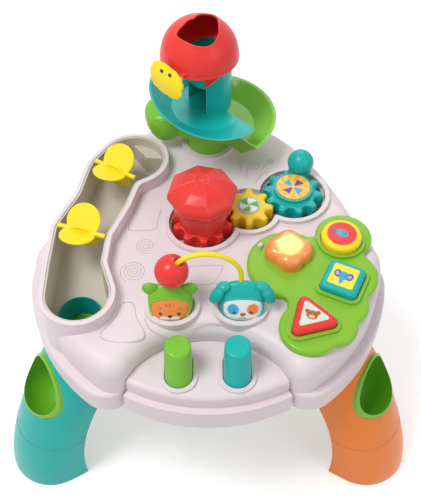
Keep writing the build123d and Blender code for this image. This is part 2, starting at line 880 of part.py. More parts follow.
def control_panel():
    """Green cloud shaped panel that carries the buttons and the light."""
    high = top_z + panel_h
    panel = slab(panel_face(0.0), top_z, high)
    panel = fillet(top_edges(panel), panel_edge_r)
    panel = panel - slab(panel_face(-panel_wall), top_z - 1, high - panel_wall)
    for shape in button_faces.values():
        panel = panel + slab(shape(button_gap + ring_w), high - panel_wall, high + ring_h)
    for post in board_posts:
        panel = panel + slab(disc(post, board_post_r), board_z + board_t, high - panel_wall + 1)
    for shape in button_faces.values():
        panel = panel - slab(shape(button_gap), top_z - 20, high + ring_h + 1)
    panel = panel - slab(flower_face(-flower_wall - 3), high - panel_wall - 1, high + 1)
    panel = panel - slab(disc(peg_at, peg_r), high - panel_wall - 1, high + 1)
    return panel


def button(name):
    """Hollow push button with a skirt below the panel and a stem."""
    shape = button_faces[name]
    low = top_z + panel_h - panel_wall - button_skirt
    high = top_z + panel_h + button_h
    cap = slab(shape(0.0), low, high)
    cap = fillet(top_edges(cap), button_round)
    cap = cap - slab(shape(-button_wall), low - 1, high - button_wall - 2)
    stem = slab(disc(button_places[name], stem_r), board_z + board_t + dome_h + run, high - button_wall)
    return cap + stem


def button_label(name):
    shape = button_faces[name]
    high = top_z + panel_h + button_h
    return slab(shape(-label_inset), high, high + label_t)


def contact_dome(name):
    """Springy rubber dome that lifts a button back up."""
    low = board_z + board_t
    return at(button_places[name], low) * Cone(
        dome_r, stem_r * 0.8, dome_h, align=(Align.CENTER, Align.CENTER, Align.MIN))


def flower_light():
    """Orange lens in the shape of a flower."""
    low = top_z + panel_h
    lens = slab(flower_face(0.0), low, low + flower_h)
    lens = fillet(top_edges(lens), flower_h * 0.6)
    hollow = slab(flower_face(-flower_wall - 3), low - 1, low + flower_h * 0.4)
    return lens - hollow


def light_core():
    """Yellow inner lens under the flower."""
    low = board_z + board_t
    return slab(disc(flower_at, core_r), low, top_z + panel_h + flower_h * 0.4 - 1)


def panel_peg():
    low = top_z + panel_h - panel_wall
    peg = slab(disc(peg_at, peg_r - 0.1), low, low + peg_h)
    return fillet(top_edges(peg), peg_r * 0.7)


def circuit_board():
    """Main board under the panel, cut to clear the gear wells."""
    width = board_high[0] - board_low[0]
    depth = board_high[1] - board_low[1]
    middle = ((board_low[0] + board_high[0]) / 2, (board_low[1] + board_high[1]) / 2)
    shape = (at(middle) * RectangleRounded(width, depth, 4)) & Circle(table_r - wall - board_gap)
    return slab(shape, board_z, board_z + board_t)


def speaker():
    """Round loudspeaker that sits on the grille in the base plate."""
    low = plate_z + plate_t
    frame = slab(disc(speaker_at, speaker_r), low, low + speaker_rim_h)
    magnet = slab(disc(speaker_at, magnet_r), low + speaker_rim_h, low + speaker_h)
    return frame + magnet


# Battery compartment

def battery_room():
    length = battery_l + 6
    width = battery_count * battery_pitch + 2
    return length, width


def door_opening():
    length, width = battery_room()
    opening = at(battery_at) * Rectangle(width, length)
    lip = at(battery_at) * Rectangle(width + 2 * door_lip, length + 2 * door_lip)
    return slab(opening, plate_z - 1, plate_z + plate_t + 1) + slab(lip, plate_z - 1, plate_z + door_t / 2)


def battery_box():
    """Open bottomed box that holds the cells above the base plate."""
    length, width = battery_room()
    low = plate_z + plate_t
    high = low + 2 * battery_r + 2 + battery_wall
    outer = slab(at(battery_at) * Rectangle(width + 2 * battery_wall, length + 2 * battery_wall), low, high)
    return outer - slab(at(battery_at) * Rectangle(width, length), low - 1, high - battery_wall)


def cell_places():
    first = -(battery_count - 1) / 2
    return [(battery_at[0] + (first + k) * battery_pitch, battery_at[1]) for k in range(battery_count)]


def batteries():
    cells = []
    z = plate_z + plate_t + battery_r + 0.5
    for x, y in cell_places():
        cell = Cylinder(battery_r, battery_l - 1, rotation=(90, 0, 0))
        tip = Pos(0, -battery_l / 2, 0) * Cylinder(2.8, 1.0, rotation=(90, 0, 0))
        cells.append(Pos(x, y, z) * (cell + tip))
    return cells


def battery_contacts():
    plates = []
    z = plate_z + plate_t + battery_r + 0.5
    for x, y in cell_places():
        for sign in (-1, 1):
            reach = battery_l / 2 + 3 - contact_t / 2
            plates.append(Pos(x, y + sign * reach, z) * Box(contact_side, contact_t, contact_side))
            nub = Cylinder(contact_nub_r, contact_nub_l, rotation=(90, 0, 0))
            plates.append(Pos(x, y + sign * (reach - contact_nub_in), z) * nub)
    return plates


def battery_door():
    """Door that screws over the battery opening from below."""
    length, width = battery_room()
    lip = at(battery_at) * Rectangle(width + 2 * door_lip - 2 * fit, length + 2 * door_lip - 2 * fit)
    door = slab(lip, plate_z + door_t / 2 - door_t, plate_z + door_t / 2)
    spot = (battery_at[0], battery_at[1] - length / 2 - door_lip / 2 + 5)
    return door - slab(disc(spot, screw_r), plate_z - 5, plate_z + 5)


def door_screw():
    length, width = battery_room()
    spot = (battery_at[0], battery_at[1] - length / 2 - door_lip / 2 + 5)
    under = plate_z - door_t / 2
    return slab(disc(spot, screw_head_r), under - screw_head_h, under) + slab(
        disc(spot, screw_r - 0.1), under, plate_z + door_t / 2 + 1)


# Power switch

def switch_place():
    """Frame of the switch, with X straight out of the body's wall."""
    return at(switch_at, switch_z) * Rot(0, 0, switch_turn_deg)


def switch_hole():
    return switch_place() * Box(6 * wall, switch_slot_l, switch_slot_h)


def power_switch():
    """Small slider in a slot in the side of the body."""
    inner = -wall - 1.5 * run
    plate = Pos(inner - switch_plate_t / 2, 0, 0) * Box(switch_plate_t, switch_slot_l + 8, switch_slot_h + 8)
    nub = Pos(inner / 2, -switch_travel / 2, 0) * Box(
        wall + inner - 2 * inner, switch_nub_l, switch_slot_h - 2 * run)
    return switch_place() * (plate + nub)


# Legs and cups

def leg_face(nose, inner, half):
    """Horseshoe block: a round nose with straight sides."""
    mid = nose - half
    arc = ThreePointArc((half, -mid), (0, -nose), (-half, -mid))
    sides = Polyline((-half, -mid), (-half, -inner), (half, -inner), (half, -mid))
    return make_face([arc, sides])


def leg_block(grow, inner_grow=0.0):
    """Block through the leg's stations, with its nose towards -Y."""
    faces = []
    for z, nose, inner, half in leg_stations:
        faces.append(Pos(0, 0, z) * leg_face(nose + grow, inner - grow - inner_grow, half + grow))
    return loft(faces)


def cup_egg(grow):
    by = (cup_side + grow, cup_radial + grow, cup_height + grow)
    return Pos(0, -cup_at_r, cup_z) * scale(Sphere(1), by=by)


def cup_throat(grow):
    """Funnel form that leads from the drop hole into the cup."""
    ends = []
    for z, (radius, side, radial) in ((plate_z - fit, throat_top), (throat_end_z, throat_end)):
        ends.append(Pos(0, -radius, z) * Ellipse(side + grow, radial + grow))
    return loft(ends)


def leg_screw_spots():
    z, nose, inner, half = leg_stations[-1]
    y = -(nose - leg_boss_reach)
    return [(-leg_boss_side, y), (leg_boss_side, y)]


def leg(side):
    """Moulded leg, open towards the middle of the table."""
    top = leg_stations[-1][0]
    shell = leg_block(0.0) - leg_block(-leg_wall, 30.0)
    shell = shell & slab(Circle(2 * table_r), 0, plate_z)
    outer = leg_block(-0.5) & slab(Circle(2 * table_r), 0, plate_z)
    for spot in leg_screw_spots():
        boss = slab(disc(spot, leg_boss_r), plate_z - leg_boss_h, plate_z) & outer
        shell = shell + boss - slab(disc(spot, screw_r), plate_z - screw_l, plate_z + 1)
    shell = shell - cup_egg(fit)
    return Rot(0, 0, leg_angles[side]) * shell


def leg_cup(side):
    """Green bowl that fills the opening in a leg and catches the ball."""
    bowl = cup_egg(0.0) & leg_block(cup_lip)
    throat = cup_throat(0.0) & leg_block(-leg_wall - fit)
    room = cup_throat(-cup_t) & leg_block(-leg_wall - fit - cup_t)
    return Rot(0, 0, leg_angles[side]) * (bowl + throat - cup_egg(-cup_t) - room)


# Tower

def dish(centre, rim_r, rim_level, floor_r, under_z, grow):
    """Round bowl form between its underside and its rim."""
    low = Pos(0, 0, under_z) * Circle(floor_r - grow)
    high = Pos(0, 0, rim_level) * Circle(rim_r - grow)
    return at(centre) * loft([low, high])


def dish_plan(grow):
    """Plan of the lower dish, which has no front."""
    face = disc(green_dish_at, green_dish_r + 1) - make_face(Polyline(*green_front, close=True))
    inner_corners = face.vertices().filter_by_position(Axis.Y, 60, 200).filter_by_position(Axis.X, -60, 60)
    face = fillet(inner_corners, green_front_r)
    return offset(face, grow) if grow else face


def spout_form(grow, low, high):
    foot = Pos(0, 0, low) * disc(spout_foot_at, spout_foot_r - grow)
    rim = Pos(0, 0, high) * disc(spout_rim_at, spout_r - grow)
    return loft([foot, rim])


def tower_base():
    """Green column with its wide dish and the spout over the channel."""
    outer = dish(green_dish_at, green_dish_r, green_rim_z, green_under_r, green_under_z, 0.0)
    outer = outer & slab(dish_plan(0.0), green_under_z, green_rim_z)
    inner = dish(green_dish_at, green_dish_r, green_rim_z + 1, green_under_r, green_floor_z, dish_wall)
    inner = inner & slab(dish_plan(-dish_wall), green_floor_z, green_rim_z + 1)
    spout = spout_form(0.0, spout_foot_z, green_rim_z)
    spout_room = spout_form(dish_wall, spout_foot_z + dish_wall, green_rim_z + 1)
    exit_cut = at(spout_foot_at, spout_foot_z + dish_wall + spout_exit_h / 2) * Rot(0, 0, spout_exit_deg) * (
        Pos(spout_foot_r, 0, 0) * Box(2 * spout_foot_r, spout_exit_w, spout_exit_h))
    column = slab(disc(tower_at, column_r), top_z, green_floor_z)
    base = outer + spout + column - inner - spout_room - exit_cut
    post = slab(disc(drum_at, drum_r - 8), green_floor_z - 2, teal_under_z)
    bolt = slab(disc(tower_at, screw_r), top_z - 1, top_z + screw_l + 2)
    return base + post - bolt


def teal_form(grow, low):
    """Oval bowl form whose rim dips towards the pouring corner."""
    a, b = teal_rim
    foot = at(teal_dish_at, low) * Rot(0, 0, teal_turn_deg) * Ellipse(
        teal_foot[0] - grow, teal_foot[1] - grow)
    tilt = Rot(0, 0, teal_turn_deg) * Rot(0, teal_tilt_deg, 0)
    rim = at(teal_dish_at, teal_rim_z) * tilt * Ellipse(a - grow, b - grow)
    return loft([foot, rim])


def spiral_tray():
    """Teal bowl with a straight pouring edge and a drum under the hood."""
    bowl = teal_form(0.0, teal_under_z) - teal_form(dish_wall, teal_floor_z)
    above = at(teal_dish_at, teal_rim_z) * Rot(0, 0, teal_turn_deg) * Rot(0, teal_tilt_deg, 0)
    bowl = bowl - above * (Pos(0, 0, 20) * Box(200, 200, 40))
    behind = at(teal_exit_at) * Rot(0, 0, teal_exit_deg) * (Pos(60, 0, teal_rim_z) * Box(120, 300, 120))
    bowl = bowl - behind
    drum = slab(disc(drum_at, drum_r), teal_under_z, drum_top_z)
    hollow = slab(disc(drum_at, drum_r - dish_wall), teal_floor_z, drum_top_z + 1)
    door = at(drum_at, teal_floor_z + drum_door_h / 2) * Rot(0, 0, drum_door_deg) * (
        Pos(drum_r, 0, 0) * Box(2 * dish_wall + 20, drum_door_w, drum_door_h))
    return bowl + drum - hollow - door


def hood_dome(grow, low):
    dome = scale(Sphere(1), by=(hood_r + grow, hood_r + grow, hood_r * hood_crown + grow))
    dome = at(hood_at, hood_rim_z) * dome
    return dome & slab(Circle(3 * table_r), low, hood_rim_z + 2 * hood_r)


def mouth_face():
    """Pointed oval of the ball opening."""
    r = hood_mouth_r
    first = Pos(r * 0.35, 0, 0) * Circle(r)
    second = Pos(-r * 0.35, 0, 0) * Circle(r)
    return at(hood_mouth_at) * Rot(0, 0, hood_mouth_turn) * (first & second)


def hood():
    """Red dome with the ball opening and a chute into the drum."""
    dome = hood_dome(0.0, hood_rim_z) - hood_dome(-hood_wall, hood_rim_z - 1)
    floor_disc = slab(disc(hood_at, hood_r - hood_wall / 2), hood_rim_z, hood_rim_z + hood_wall)
    skirt_r = drum_r + fit + chute_t
    skirt = slab(disc(drum_at, skirt_r), chute_z, hood_rim_z + 1)
    skirt = skirt - slab(disc(drum_at, drum_r + fit), chute_z - 1, hood_rim_z)
    gap_w = 2 * skirt_r
    gap = Pos(chute_open_x - gap_w / 2, drum_at[1] - gap_w / 2, (chute_z + drum_top_z) / 2) * Box(
        gap_w, gap_w, drum_top_z - chute_z)
    body = dome + floor_disc + (skirt - gap)
    body = body - slab(disc(drum_at, drum_r - dish_wall), hood_rim_z - 1, hood_rim_z + hood_wall + 1)
    body = body - slab(mouth_face(), hood_rim_z + 12, hood_rim_z + 2 * hood_r)
    for ear in flap_ears():
        body = body + ear
    return body - flap_place() * flap_pin_bore(flap_pin_r + pin_play, 20.0)


def flap_place():
    """Frame of the flap's hinge, with X along the pin and -Y outwards."""
    a = math.radians(flap_deg)
    reach = hood_r + flap_pin_r + 2.4
    x = hood_at[0] + reach * math.cos(a)
    y = hood_at[1] + reach * math.sin(a)
    return Pos(x, y, hood_rim_z - 1.0) * Rot(0, 0, flap_deg + 90)


def flap_pin_bore(radius, extra):
    return Cylinder(radius, flap_pin_l + extra, rotation=(0, 90, 0))


def flap_ears():
    """Two lugs on the hood's rim that hold the flap's pin."""
    ears = []
    for sign in (-1, 1):
        block = Pos(sign * (flap_pin_l - flap_ear) / 2, 2.5, -0.3) * Box(flap_ear, 9.0, 5.4)
        ears.append(flap_place() * block)
    return ears


def gate_flap():
    """Yellow flap with a waved edge and two little slots."""
    lobes = []
    for x, y, r in flap_lobes:
        lobes.append(Pos(x, y) * Circle(r))
    plate = merged([Pos(0, flap_middle) * Rectangle(flap_w, flap_l), *lobes])
    for x in (-7.0, 7.0):
        plate = plate - Pos(x, -6) * Rectangle(flap_slot, flap_slot)
    sheet = extrude(plate, flap_t)
    sheet = Rot(90 - flap_lean, 0, 0) * Pos(0, -6, flap_stand) * sheet
    knuckle_l = flap_pin_l - 2 * flap_ear - 2 * run
    knuckle = Cylinder(flap_pin_r + 1.8, knuckle_l, rotation=(0, 90, 0))
    neck = Pos(0, -flap_stand / 2 - 0.6, -1.2) * Box(knuckle_l, flap_stand, 5)
    flap = sheet + knuckle + neck
    flap = flap - flap_pin_bore(flap_pin_r + pin_play, 0.0)
    return flap_place() * flap


def flap_pin():
    return flap_place() * flap_pin_bore(flap_pin_r, 0.0)


# Fasteners

def body_screws():
    screws = []
    for boss in body_bosses:
        shank = slab(disc(boss, screw_r - 0.1), plate_z, plate_z + screw_l)
        screws.append(shank + slab(disc(boss, screw_head_r), plate_z - screw_head_h, plate_z))
    return screws


def leg_screws():
    screws = []
    top = plate_z + plate_t
    for angle in leg_angles.values():
        for spot in leg_screw_spots():
            shank = slab(disc(spot, screw_r - 0.1), plate_z - screw_l + 1, top)
            screw = shank + slab(disc(spot, screw_head_r), top, top + screw_head_h)
            screws.append(Rot(0, 0, angle) * screw)
    return screws


def tower_screw():
    low = top_z - wall
    return slab(disc(tower_at, screw_head_r), low - screw_head_h, low) + slab(
        disc(tower_at, screw_r - 0.1), low, top_z + screw_l)


def whole_table():
    """Every piece under its own name."""
    gear_top = gear_bottom_z + gear_h
    pieces = {
        "top_shell": top_shell(),
        "base_plate": base_plate(),
        "key_console": key_console(),
        "green_key": key(-key_x),
        "teal_key": key(key_x),
        "green_key_spring": key_spring(-key_x),
        "teal_key_spring": key_spring(key_x),
        "key_board": key_board(),
        "ball_channel": ball_channel(),
        "upper_flipper": flipper(upper_axle),
        "lower_flipper": flipper(lower_axle),
        "gear_tray": gear_tray(),
        "red_gear": gear(red_at, big_teeth, phases()[0]),
        "umbrella_knob": umbrella_knob(),
        "yellow_gear": gear(yellow_centre(), small_teeth, phases()[1]),
        "teal_gear": teal_gear(),
        "crank_knob": crank_knob(),
        "yellow_gear_label": gear_label(yellow_centre(), small_label_r, gear_top),
        "teal_gear_label": gear_label(teal_centre(), gear_label_r - 0.5, gear_top + teal_hub_h),
        "wire_arch": wire_arch(),
        "bead": bead(),
        "left_head": animal_head("left"),
        "right_head": animal_head("right"),
        "left_face": face_plate("left"),
        "right_face": face_plate("right"),
        "control_panel": control_panel(),
        "flower_light": flower_light(),
        "light_core": light_core(),
        "panel_peg": panel_peg(),
        "circuit_board": circuit_board(),
        "speaker": speaker(),
        "battery_box": battery_box(),
        "batteries": batteries(),
        "battery_contacts": battery_contacts(),
        "battery_door": battery_door(),
        "door_screw": door_screw(),
        "power_switch": power_switch(),
        "tower_base": tower_base(),
        "spiral_tray": spiral_tray(),
        "hood": hood(),
        "gate_flap": gate_flap(),
        "flap_pin": flap_pin(),
        "body_screws": body_screws(),
        "leg_screws": leg_screws(),
        "tower_screw": tower_screw(),
    }
    for name in button_faces:
        pieces[name + "_button"] = button(name)
        pieces[name + "_button_label"] = button_label(name)
        pieces[name + "_contact_dome"] = contact_dome(name)
    for side in leg_angles:
        pieces[side + "_leg"] = leg(side)
        pieces[side + "_leg_cup"] = leg_cup(side)
    return pieces


def middle_y():
    """Middle of the whole table from front to back."""
    return (leg_stations[0][1] - console_band_r) / 2


def write(pieces):
    os.makedirs("parts", exist_ok=True)
    shift = Pos(0, -middle_y(), 0)
    for name, shape in pieces.items():
        if isinstance(shape, list):
            shape = Compound(children=[shift * item for item in shape])
        else:
            shape = shift * shape
        export_step(shape, os.path.join("parts", name + ".step"))


if __name__ == "__main__":
    write(whole_table())
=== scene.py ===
# %% [markdown]
# # An activity table for a small child
#
# The table has a white moulded body on three legs, a ball run down its left
# side, a small slide tower at the back, three gears that mesh, a wire arch
# with a bead, two keys at the front and a panel of light and buttons on the
# right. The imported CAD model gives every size. This file dresses it: it gives
# each piece its plastic, and models again the pieces whose form needs more
# than the CAD has.

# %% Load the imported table
import json
import math

import bmesh
import bpy
from mathutils import Matrix, Vector


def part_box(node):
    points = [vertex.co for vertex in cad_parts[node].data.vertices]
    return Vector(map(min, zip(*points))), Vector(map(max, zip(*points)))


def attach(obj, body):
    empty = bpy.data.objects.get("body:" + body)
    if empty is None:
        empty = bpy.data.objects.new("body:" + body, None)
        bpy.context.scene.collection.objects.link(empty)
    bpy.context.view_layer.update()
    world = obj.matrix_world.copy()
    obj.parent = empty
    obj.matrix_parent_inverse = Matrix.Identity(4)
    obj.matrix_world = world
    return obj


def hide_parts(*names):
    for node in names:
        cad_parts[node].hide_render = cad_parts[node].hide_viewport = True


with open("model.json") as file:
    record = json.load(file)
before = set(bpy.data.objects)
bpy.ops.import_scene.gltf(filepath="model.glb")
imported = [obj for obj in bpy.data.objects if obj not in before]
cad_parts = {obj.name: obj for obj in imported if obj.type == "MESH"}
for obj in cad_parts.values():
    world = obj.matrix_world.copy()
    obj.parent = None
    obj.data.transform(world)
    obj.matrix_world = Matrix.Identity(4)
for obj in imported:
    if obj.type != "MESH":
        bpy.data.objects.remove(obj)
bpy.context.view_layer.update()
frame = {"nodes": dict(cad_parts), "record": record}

nodes = frame["nodes"]

# %% [markdown]
# ## Colours
#
# Colours are written as a maker would read them off a swatch, 0 to 255, and
# turned into the linear values that a shader wants. One place for them keeps
# the teal of a leg and the teal of a key the same plastic.

# %% The plastics' colours
def swatch(red, green, blue):
    def linear(v):
        v = v / 255
        return v / 12.92 if v <= 0.04045 else ((v + 0.055) / 1.055) ** 2.4
    return (linear(red), linear(green), linear(blue), 1.0)


WHITE = swatch(228, 214, 219)
GREY = swatch(206, 198, 186)
PALE_GREY = swatch(202, 196, 192)
TEAL = swatch(18, 177, 170)
ORANGE = swatch(244, 132, 42)
RED = swatch(232, 58, 52)
GREEN = swatch(122, 192, 50)
LIME = swatch(134, 190, 48)
YELLOW = swatch(248, 224, 36)
MUSTARD = swatch(238, 204, 40)
DARK = swatch(46, 44, 46)

# %% [markdown]
# ## The skin of moulded plastic
#
# Injection moulded plastic is never one flat colour. The pigment drifts a
# little, a fine spark grain from the mould breaks up the gloss, handling
# leaves soft smudges, and edges polish lighter. One node group makes these
# four for every plastic here; each material gives it its own colour, gloss
# and grain. It reads Object coordinates, so the pattern stays on the piece.

# %% Helpers for nodes
def wire_up(tree, pairs):
    for source, target in pairs:
        tree.links.new(source, target)


def math_node(tree, operation, first, second=None):
    node = tree.nodes.new("ShaderNodeMath")
    node.operation = operation
    for socket, value in zip(node.inputs, (first, second)):
        if value is None:
            continue
        if isinstance(value, (int, float)):
            socket.default_value = value
        else:
            tree.links.new(value, socket)
    return node.outputs[0]


def blend_node(tree, mode, factor, first, second):
    node = tree.nodes.new("ShaderNodeMix")
    node.data_type = "RGBA"
    node.blend_type = mode
    for socket, value in zip((node.inputs[0], node.inputs[6], node.inputs[7]), (factor, first, second)):
        if isinstance(value, bpy.types.NodeSocket):
            tree.links.new(value, socket)
        else:
            socket.default_value = value
    return node.outputs[2]


def bump_node(tree, height, strength, distance):
    node = tree.nodes.new("ShaderNodeBump")
    node.inputs["Strength"].default_value = strength
    node.inputs["Distance"].default_value = distance
    tree.links.new(height, node.inputs["Height"])
    return node.outputs["Normal"]


def new_material(name):
    """A material with its node tree and its shader."""
    material = bpy.data.materials.new(name)
    material.use_nodes = True
    return material, material.node_tree, material.node_tree.nodes["Principled BSDF"]


def centred_place(tree, x, y):
    """Object coordinates, in metres, with an upright axis moved to the middle."""
    place = tree.nodes.new("ShaderNodeTexCoord").outputs["Object"]
    centred = tree.nodes.new("ShaderNodeMapping")
    centred.inputs["Location"].default_value = (-x, -y, 0.0)
    tree.links.new(place, centred.inputs["Vector"])
    return centred.outputs[0]


def clamped(tree, value):
    return math_node(tree, "MINIMUM", math_node(tree, "MAXIMUM", value, 0.0), 1.0)


def seen_share(tree):
    """1 for a ray that shows the scene to the lens, straight on, in a gloss or through a clear piece."""
    path = tree.nodes.new("ShaderNodeLightPath").outputs
    seen = math_node(tree, "MAXIMUM", path["Is Camera Ray"], path["Is Glossy Ray"])
    return math_node(tree, "MAXIMUM", seen, path["Is Transmission Ray"])


def noise_node(tree, vector, scale, detail=2.0):
    node = tree.nodes.new("ShaderNodeTexNoise")
    node.inputs["Scale"].default_value = scale
    node.inputs["Detail"].default_value = detail
    tree.links.new(vector, node.inputs["Vector"])
    return node.outputs[0]


# %% The moulded skin as a node group
def make_moulded_skin():
    tree = bpy.data.node_groups.new("moulded_skin", "ShaderNodeTree")
    sockets = (
        ("Colour", "NodeSocketColor", (0.8, 0.8, 0.8, 1.0)),
        ("Drift", "NodeSocketFloat", 0.06),
        ("Roughness", "NodeSocketFloat", 0.35),
        ("Smudge", "NodeSocketFloat", 0.12),
        ("Grain", "NodeSocketFloat", 1400.0),
        ("Edge", "NodeSocketFloat", 0.35),
    )
    for name, kind, value in sockets:
        tree.interface.new_socket(name=name, in_out="INPUT", socket_type=kind).default_value = value
    results = (("Colour", "NodeSocketColor"), ("Roughness", "NodeSocketFloat"), ("Height", "NodeSocketFloat"))
    for name, kind in results:
        tree.interface.new_socket(name=name, in_out="OUTPUT", socket_type=kind)
    given = tree.nodes.new("NodeGroupInput").outputs
    result = tree.nodes.new("NodeGroupOutput").inputs
    place = tree.nodes.new("ShaderNodeTexCoord").outputs["Object"]
    drift = noise_node(tree, place, 14.0, 3.0)
    smudge = noise_node(tree, place, 55.0, 4.0)
    grain = tree.nodes.new("ShaderNodeTexNoise")
    grain.inputs["Detail"].default_value = 1.0
    wire_up(tree, ((place, grain.inputs["Vector"]), (given["Grain"], grain.inputs["Scale"])))
    shade = math_node(tree, "MULTIPLY", drift, given["Drift"])
    dark = math_node(tree, "SUBTRACT", 1.0, shade)
    tinted = blend_node(tree, "MULTIPLY", 1.0, given["Colour"], dark)
    edge = tree.nodes.new("ShaderNodeBevel")
    edge.samples = 4
    edge.inputs["Radius"].default_value = 0.0012
    surface = tree.nodes.new("ShaderNodeNewGeometry").outputs["Normal"]
    turn = tree.nodes.new("ShaderNodeVectorMath")
    turn.operation = "DOT_PRODUCT"
    wire_up(tree, ((edge.outputs[0], turn.inputs[0]), (surface, turn.inputs[1])))
    bent = math_node(tree, "SUBTRACT", 1.0, turn.outputs["Value"])
    worn = math_node(tree, "MINIMUM", math_node(tree, "MULTIPLY", bent, 4.0), 1.0)
    worn = math_node(tree, "MULTIPLY", math_node(tree, "MULTIPLY", worn, smudge), given["Edge"])
    pale = blend_node(tree, "MIX", worn, tinted, (1.0, 1.0, 1.0, 1.0))
    swing = math_node(tree, "MULTIPLY", math_node(tree, "SUBTRACT", smudge, 0.5), given["Smudge"])
    gloss = math_node(tree, "ADD", given["Roughness"], swing)
    wire_up(tree, ((pale, result["Colour"]), (gloss, result["Roughness"]),
                   (grain.outputs[0], result["Height"])))
    return tree


moulded_skin = make_moulded_skin()
print("moulded skin:", len(moulded_skin.nodes), "nodes")


# %% [markdown]
# ## A material for each plastic
#
# The toy has two kinds of plastic. The white body and the grey trough are
# satin, with a grain that can be felt. The coloured pieces are glossier and
# carry a clear highlight, so they get a thin coat over the colour.

# %% Plastic materials
def plastic(name, colour, roughness=0.35, coat=0.3, grain=1400.0, depth=0.08, drift=0.06, edge=0.3):
    material, tree, shader = new_material(name)
    shader.inputs["Specular IOR Level"].default_value = 0.22
    shader.inputs["Coat Weight"].default_value = coat * 0.5
    shader.inputs["Coat Roughness"].default_value = 0.1
    skin = tree.nodes.new("ShaderNodeGroup")
    skin.node_tree = moulded_skin
    skin.inputs["Colour"].default_value = colour
    skin.inputs["Roughness"].default_value = roughness
    skin.inputs["Grain"].default_value = grain
    skin.inputs["Drift"].default_value = drift
    skin.inputs["Edge"].default_value = edge
    normal = bump_node(tree, skin.outputs["Height"], depth, 0.0003)
    wire_up(tree, ((skin.outputs["Colour"], shader.inputs["Base Color"]),
                   (skin.outputs["Roughness"], shader.inputs["Roughness"]),
                   (normal, shader.inputs["Normal"])))
    return material


# Roughness, coat, grain, grain depth, drift and edge of each kind of skin
GLOSSY = (0.35, 0.3)
SATIN = (0.42, 0.08, 1100.0, 0.12, 0.05, 0.25)
PRINTED = (0.3, 0.4, 2200.0, 0.03)
FACE = (0.3, 0.3, 2000.0, 0.04)
plastics = {
    "white_plastic": (WHITE, SATIN),
    "console_plastic": (WHITE, SATIN),
    "grey_plastic": (GREY, (0.5, 0.0, 900.0, 0.16, 0.08, 0.2)),
    "base_plastic": (PALE_GREY, (0.55, 0.0, 900.0, 0.16, 0.06, 0.2)),
    "teal_plastic": (TEAL, GLOSSY),
    "orange_plastic": (ORANGE, GLOSSY),
    "red_plastic": (RED, GLOSSY),
    "green_plastic": (GREEN, GLOSSY),
    "lime_plastic": (LIME, (0.32, 0.35)),
    "yellow_plastic": (YELLOW, (0.38, 0.2)),
    "dark_plastic": (DARK, (0.5, 0.0)),
    "red_label": (RED, PRINTED),
    "yellow_label": (swatch(244, 226, 70), PRINTED),
    "pale_label": (swatch(214, 224, 214), PRINTED),
    "green_label": (swatch(226, 232, 226), PRINTED),
    "swirl_label": (swatch(240, 178, 48), PRINTED),
    "orange_face": (swatch(238, 142, 66), FACE),
    "white_face": (swatch(232, 236, 238), FACE),
    "board": (swatch(22, 104, 60), (0.4, 0.2, 600.0, 0.2, 0.3)),
    "rubber_dome": (swatch(176, 172, 168), (0.8, 0.0, 1800.0, 0.3)),
    "cell_jacket": (swatch(70, 66, 78), (0.3, 0.3, 1800.0, 0.05, 0.12)),
}
finishes = {name: plastic(name, colour, *skin) for name, (colour, skin) in plastics.items()}
print(len(finishes), "plastics")

# %% [markdown]
# ## Steel
#
# Screws, springs, contacts and the flap's pin are plated steel. Drawn wire
# and turned heads show fine scratches, so the roughness follows a noise that
# is stretched along one axis.

# %% Steel material
def plated_steel():
    material, tree, shader = new_material("steel")
    shader.inputs["Metallic"].default_value = 1.0
    place = tree.nodes.new("ShaderNodeTexCoord").outputs["Object"]
    stretch = tree.nodes.new("ShaderNodeMapping")
    stretch.inputs["Scale"].default_value = (1.0, 1.0, 12.0)
    tree.links.new(place, stretch.inputs["Vector"])
    scratch = noise_node(tree, stretch.outputs[0], 300.0, 3.0)
    tint = blend_node(tree, "MIX", scratch, swatch(176, 176, 180), swatch(214, 214, 216))
    rough = math_node(tree, "ADD", math_node(tree, "MULTIPLY", scratch, 0.25), 0.2)
    wire_up(tree, ((tint, shader.inputs["Base Color"]), (rough, shader.inputs["Roughness"]),
                   (bump_node(tree, scratch, 0.1, 0.0001), shader.inputs["Normal"])))
    return material


finishes["steel"] = plated_steel()

# %% [markdown]
# ## The glowing flower
#
# The flower on the panel is an orange lens with a lamp under it. The light
# falls off from the middle, so colour and glow both follow the distance from
# the flower's own axis, which a Mapping node brings to the middle of the
# pattern.

# %% Lens material
def glowing_lens(name, centre, reach, hot, cool, strength):
    material, tree, shader = new_material(name)
    shader.inputs["Coat Weight"].default_value = 0.5
    shader.inputs["Coat Roughness"].default_value = 0.08
    shader.inputs["Emission Strength"].default_value = strength
    flat = tree.nodes.new("ShaderNodeVectorMath")
    flat.operation = "MULTIPLY"
    flat.inputs[1].default_value = (1.0, 1.0, 0.0)
    length = tree.nodes.new("ShaderNodeVectorMath")
    length.operation = "LENGTH"
    place = centred_place(tree, centre[0], centre[1])
    wire_up(tree, ((place, flat.inputs[0]), (flat.outputs[0], length.inputs[0])))
    place = tree.nodes.new("ShaderNodeTexCoord").outputs["Object"]
    ripple = noise_node(tree, place, 160.0, 2.0)
    wobble = math_node(tree, "MULTIPLY", math_node(tree, "SUBTRACT", ripple, 0.5), 0.06)
    share = math_node(tree, "ADD", math_node(tree, "DIVIDE", length.outputs["Value"], reach), wobble)
    dim = tuple(v * 0.12 for v in cool[:3]) + (1.0,)
    for use, near, far, edge in (("Base Color", 0.42, 0.62, cool), ("Emission Color", 0.0, 1.0, dim)):
        ramp = tree.nodes.new("ShaderNodeValToRGB")
        for element, position, colour in zip(ramp.color_ramp.elements, (near, far), (hot, edge)):
            element.position = position
            element.color = colour
        wire_up(tree, ((share, ramp.inputs[0]), (ramp.outputs[0], shader.inputs[use])))
    rough = math_node(tree, "ADD", math_node(tree, "MULTIPLY", ripple, 0.1), 0.2)
    wire_up(tree, ((rough, shader.inputs["Roughness"]),
                   (bump_node(tree, ripple, 0.05, 0.0003), shader.inputs["Normal"])))
    return material


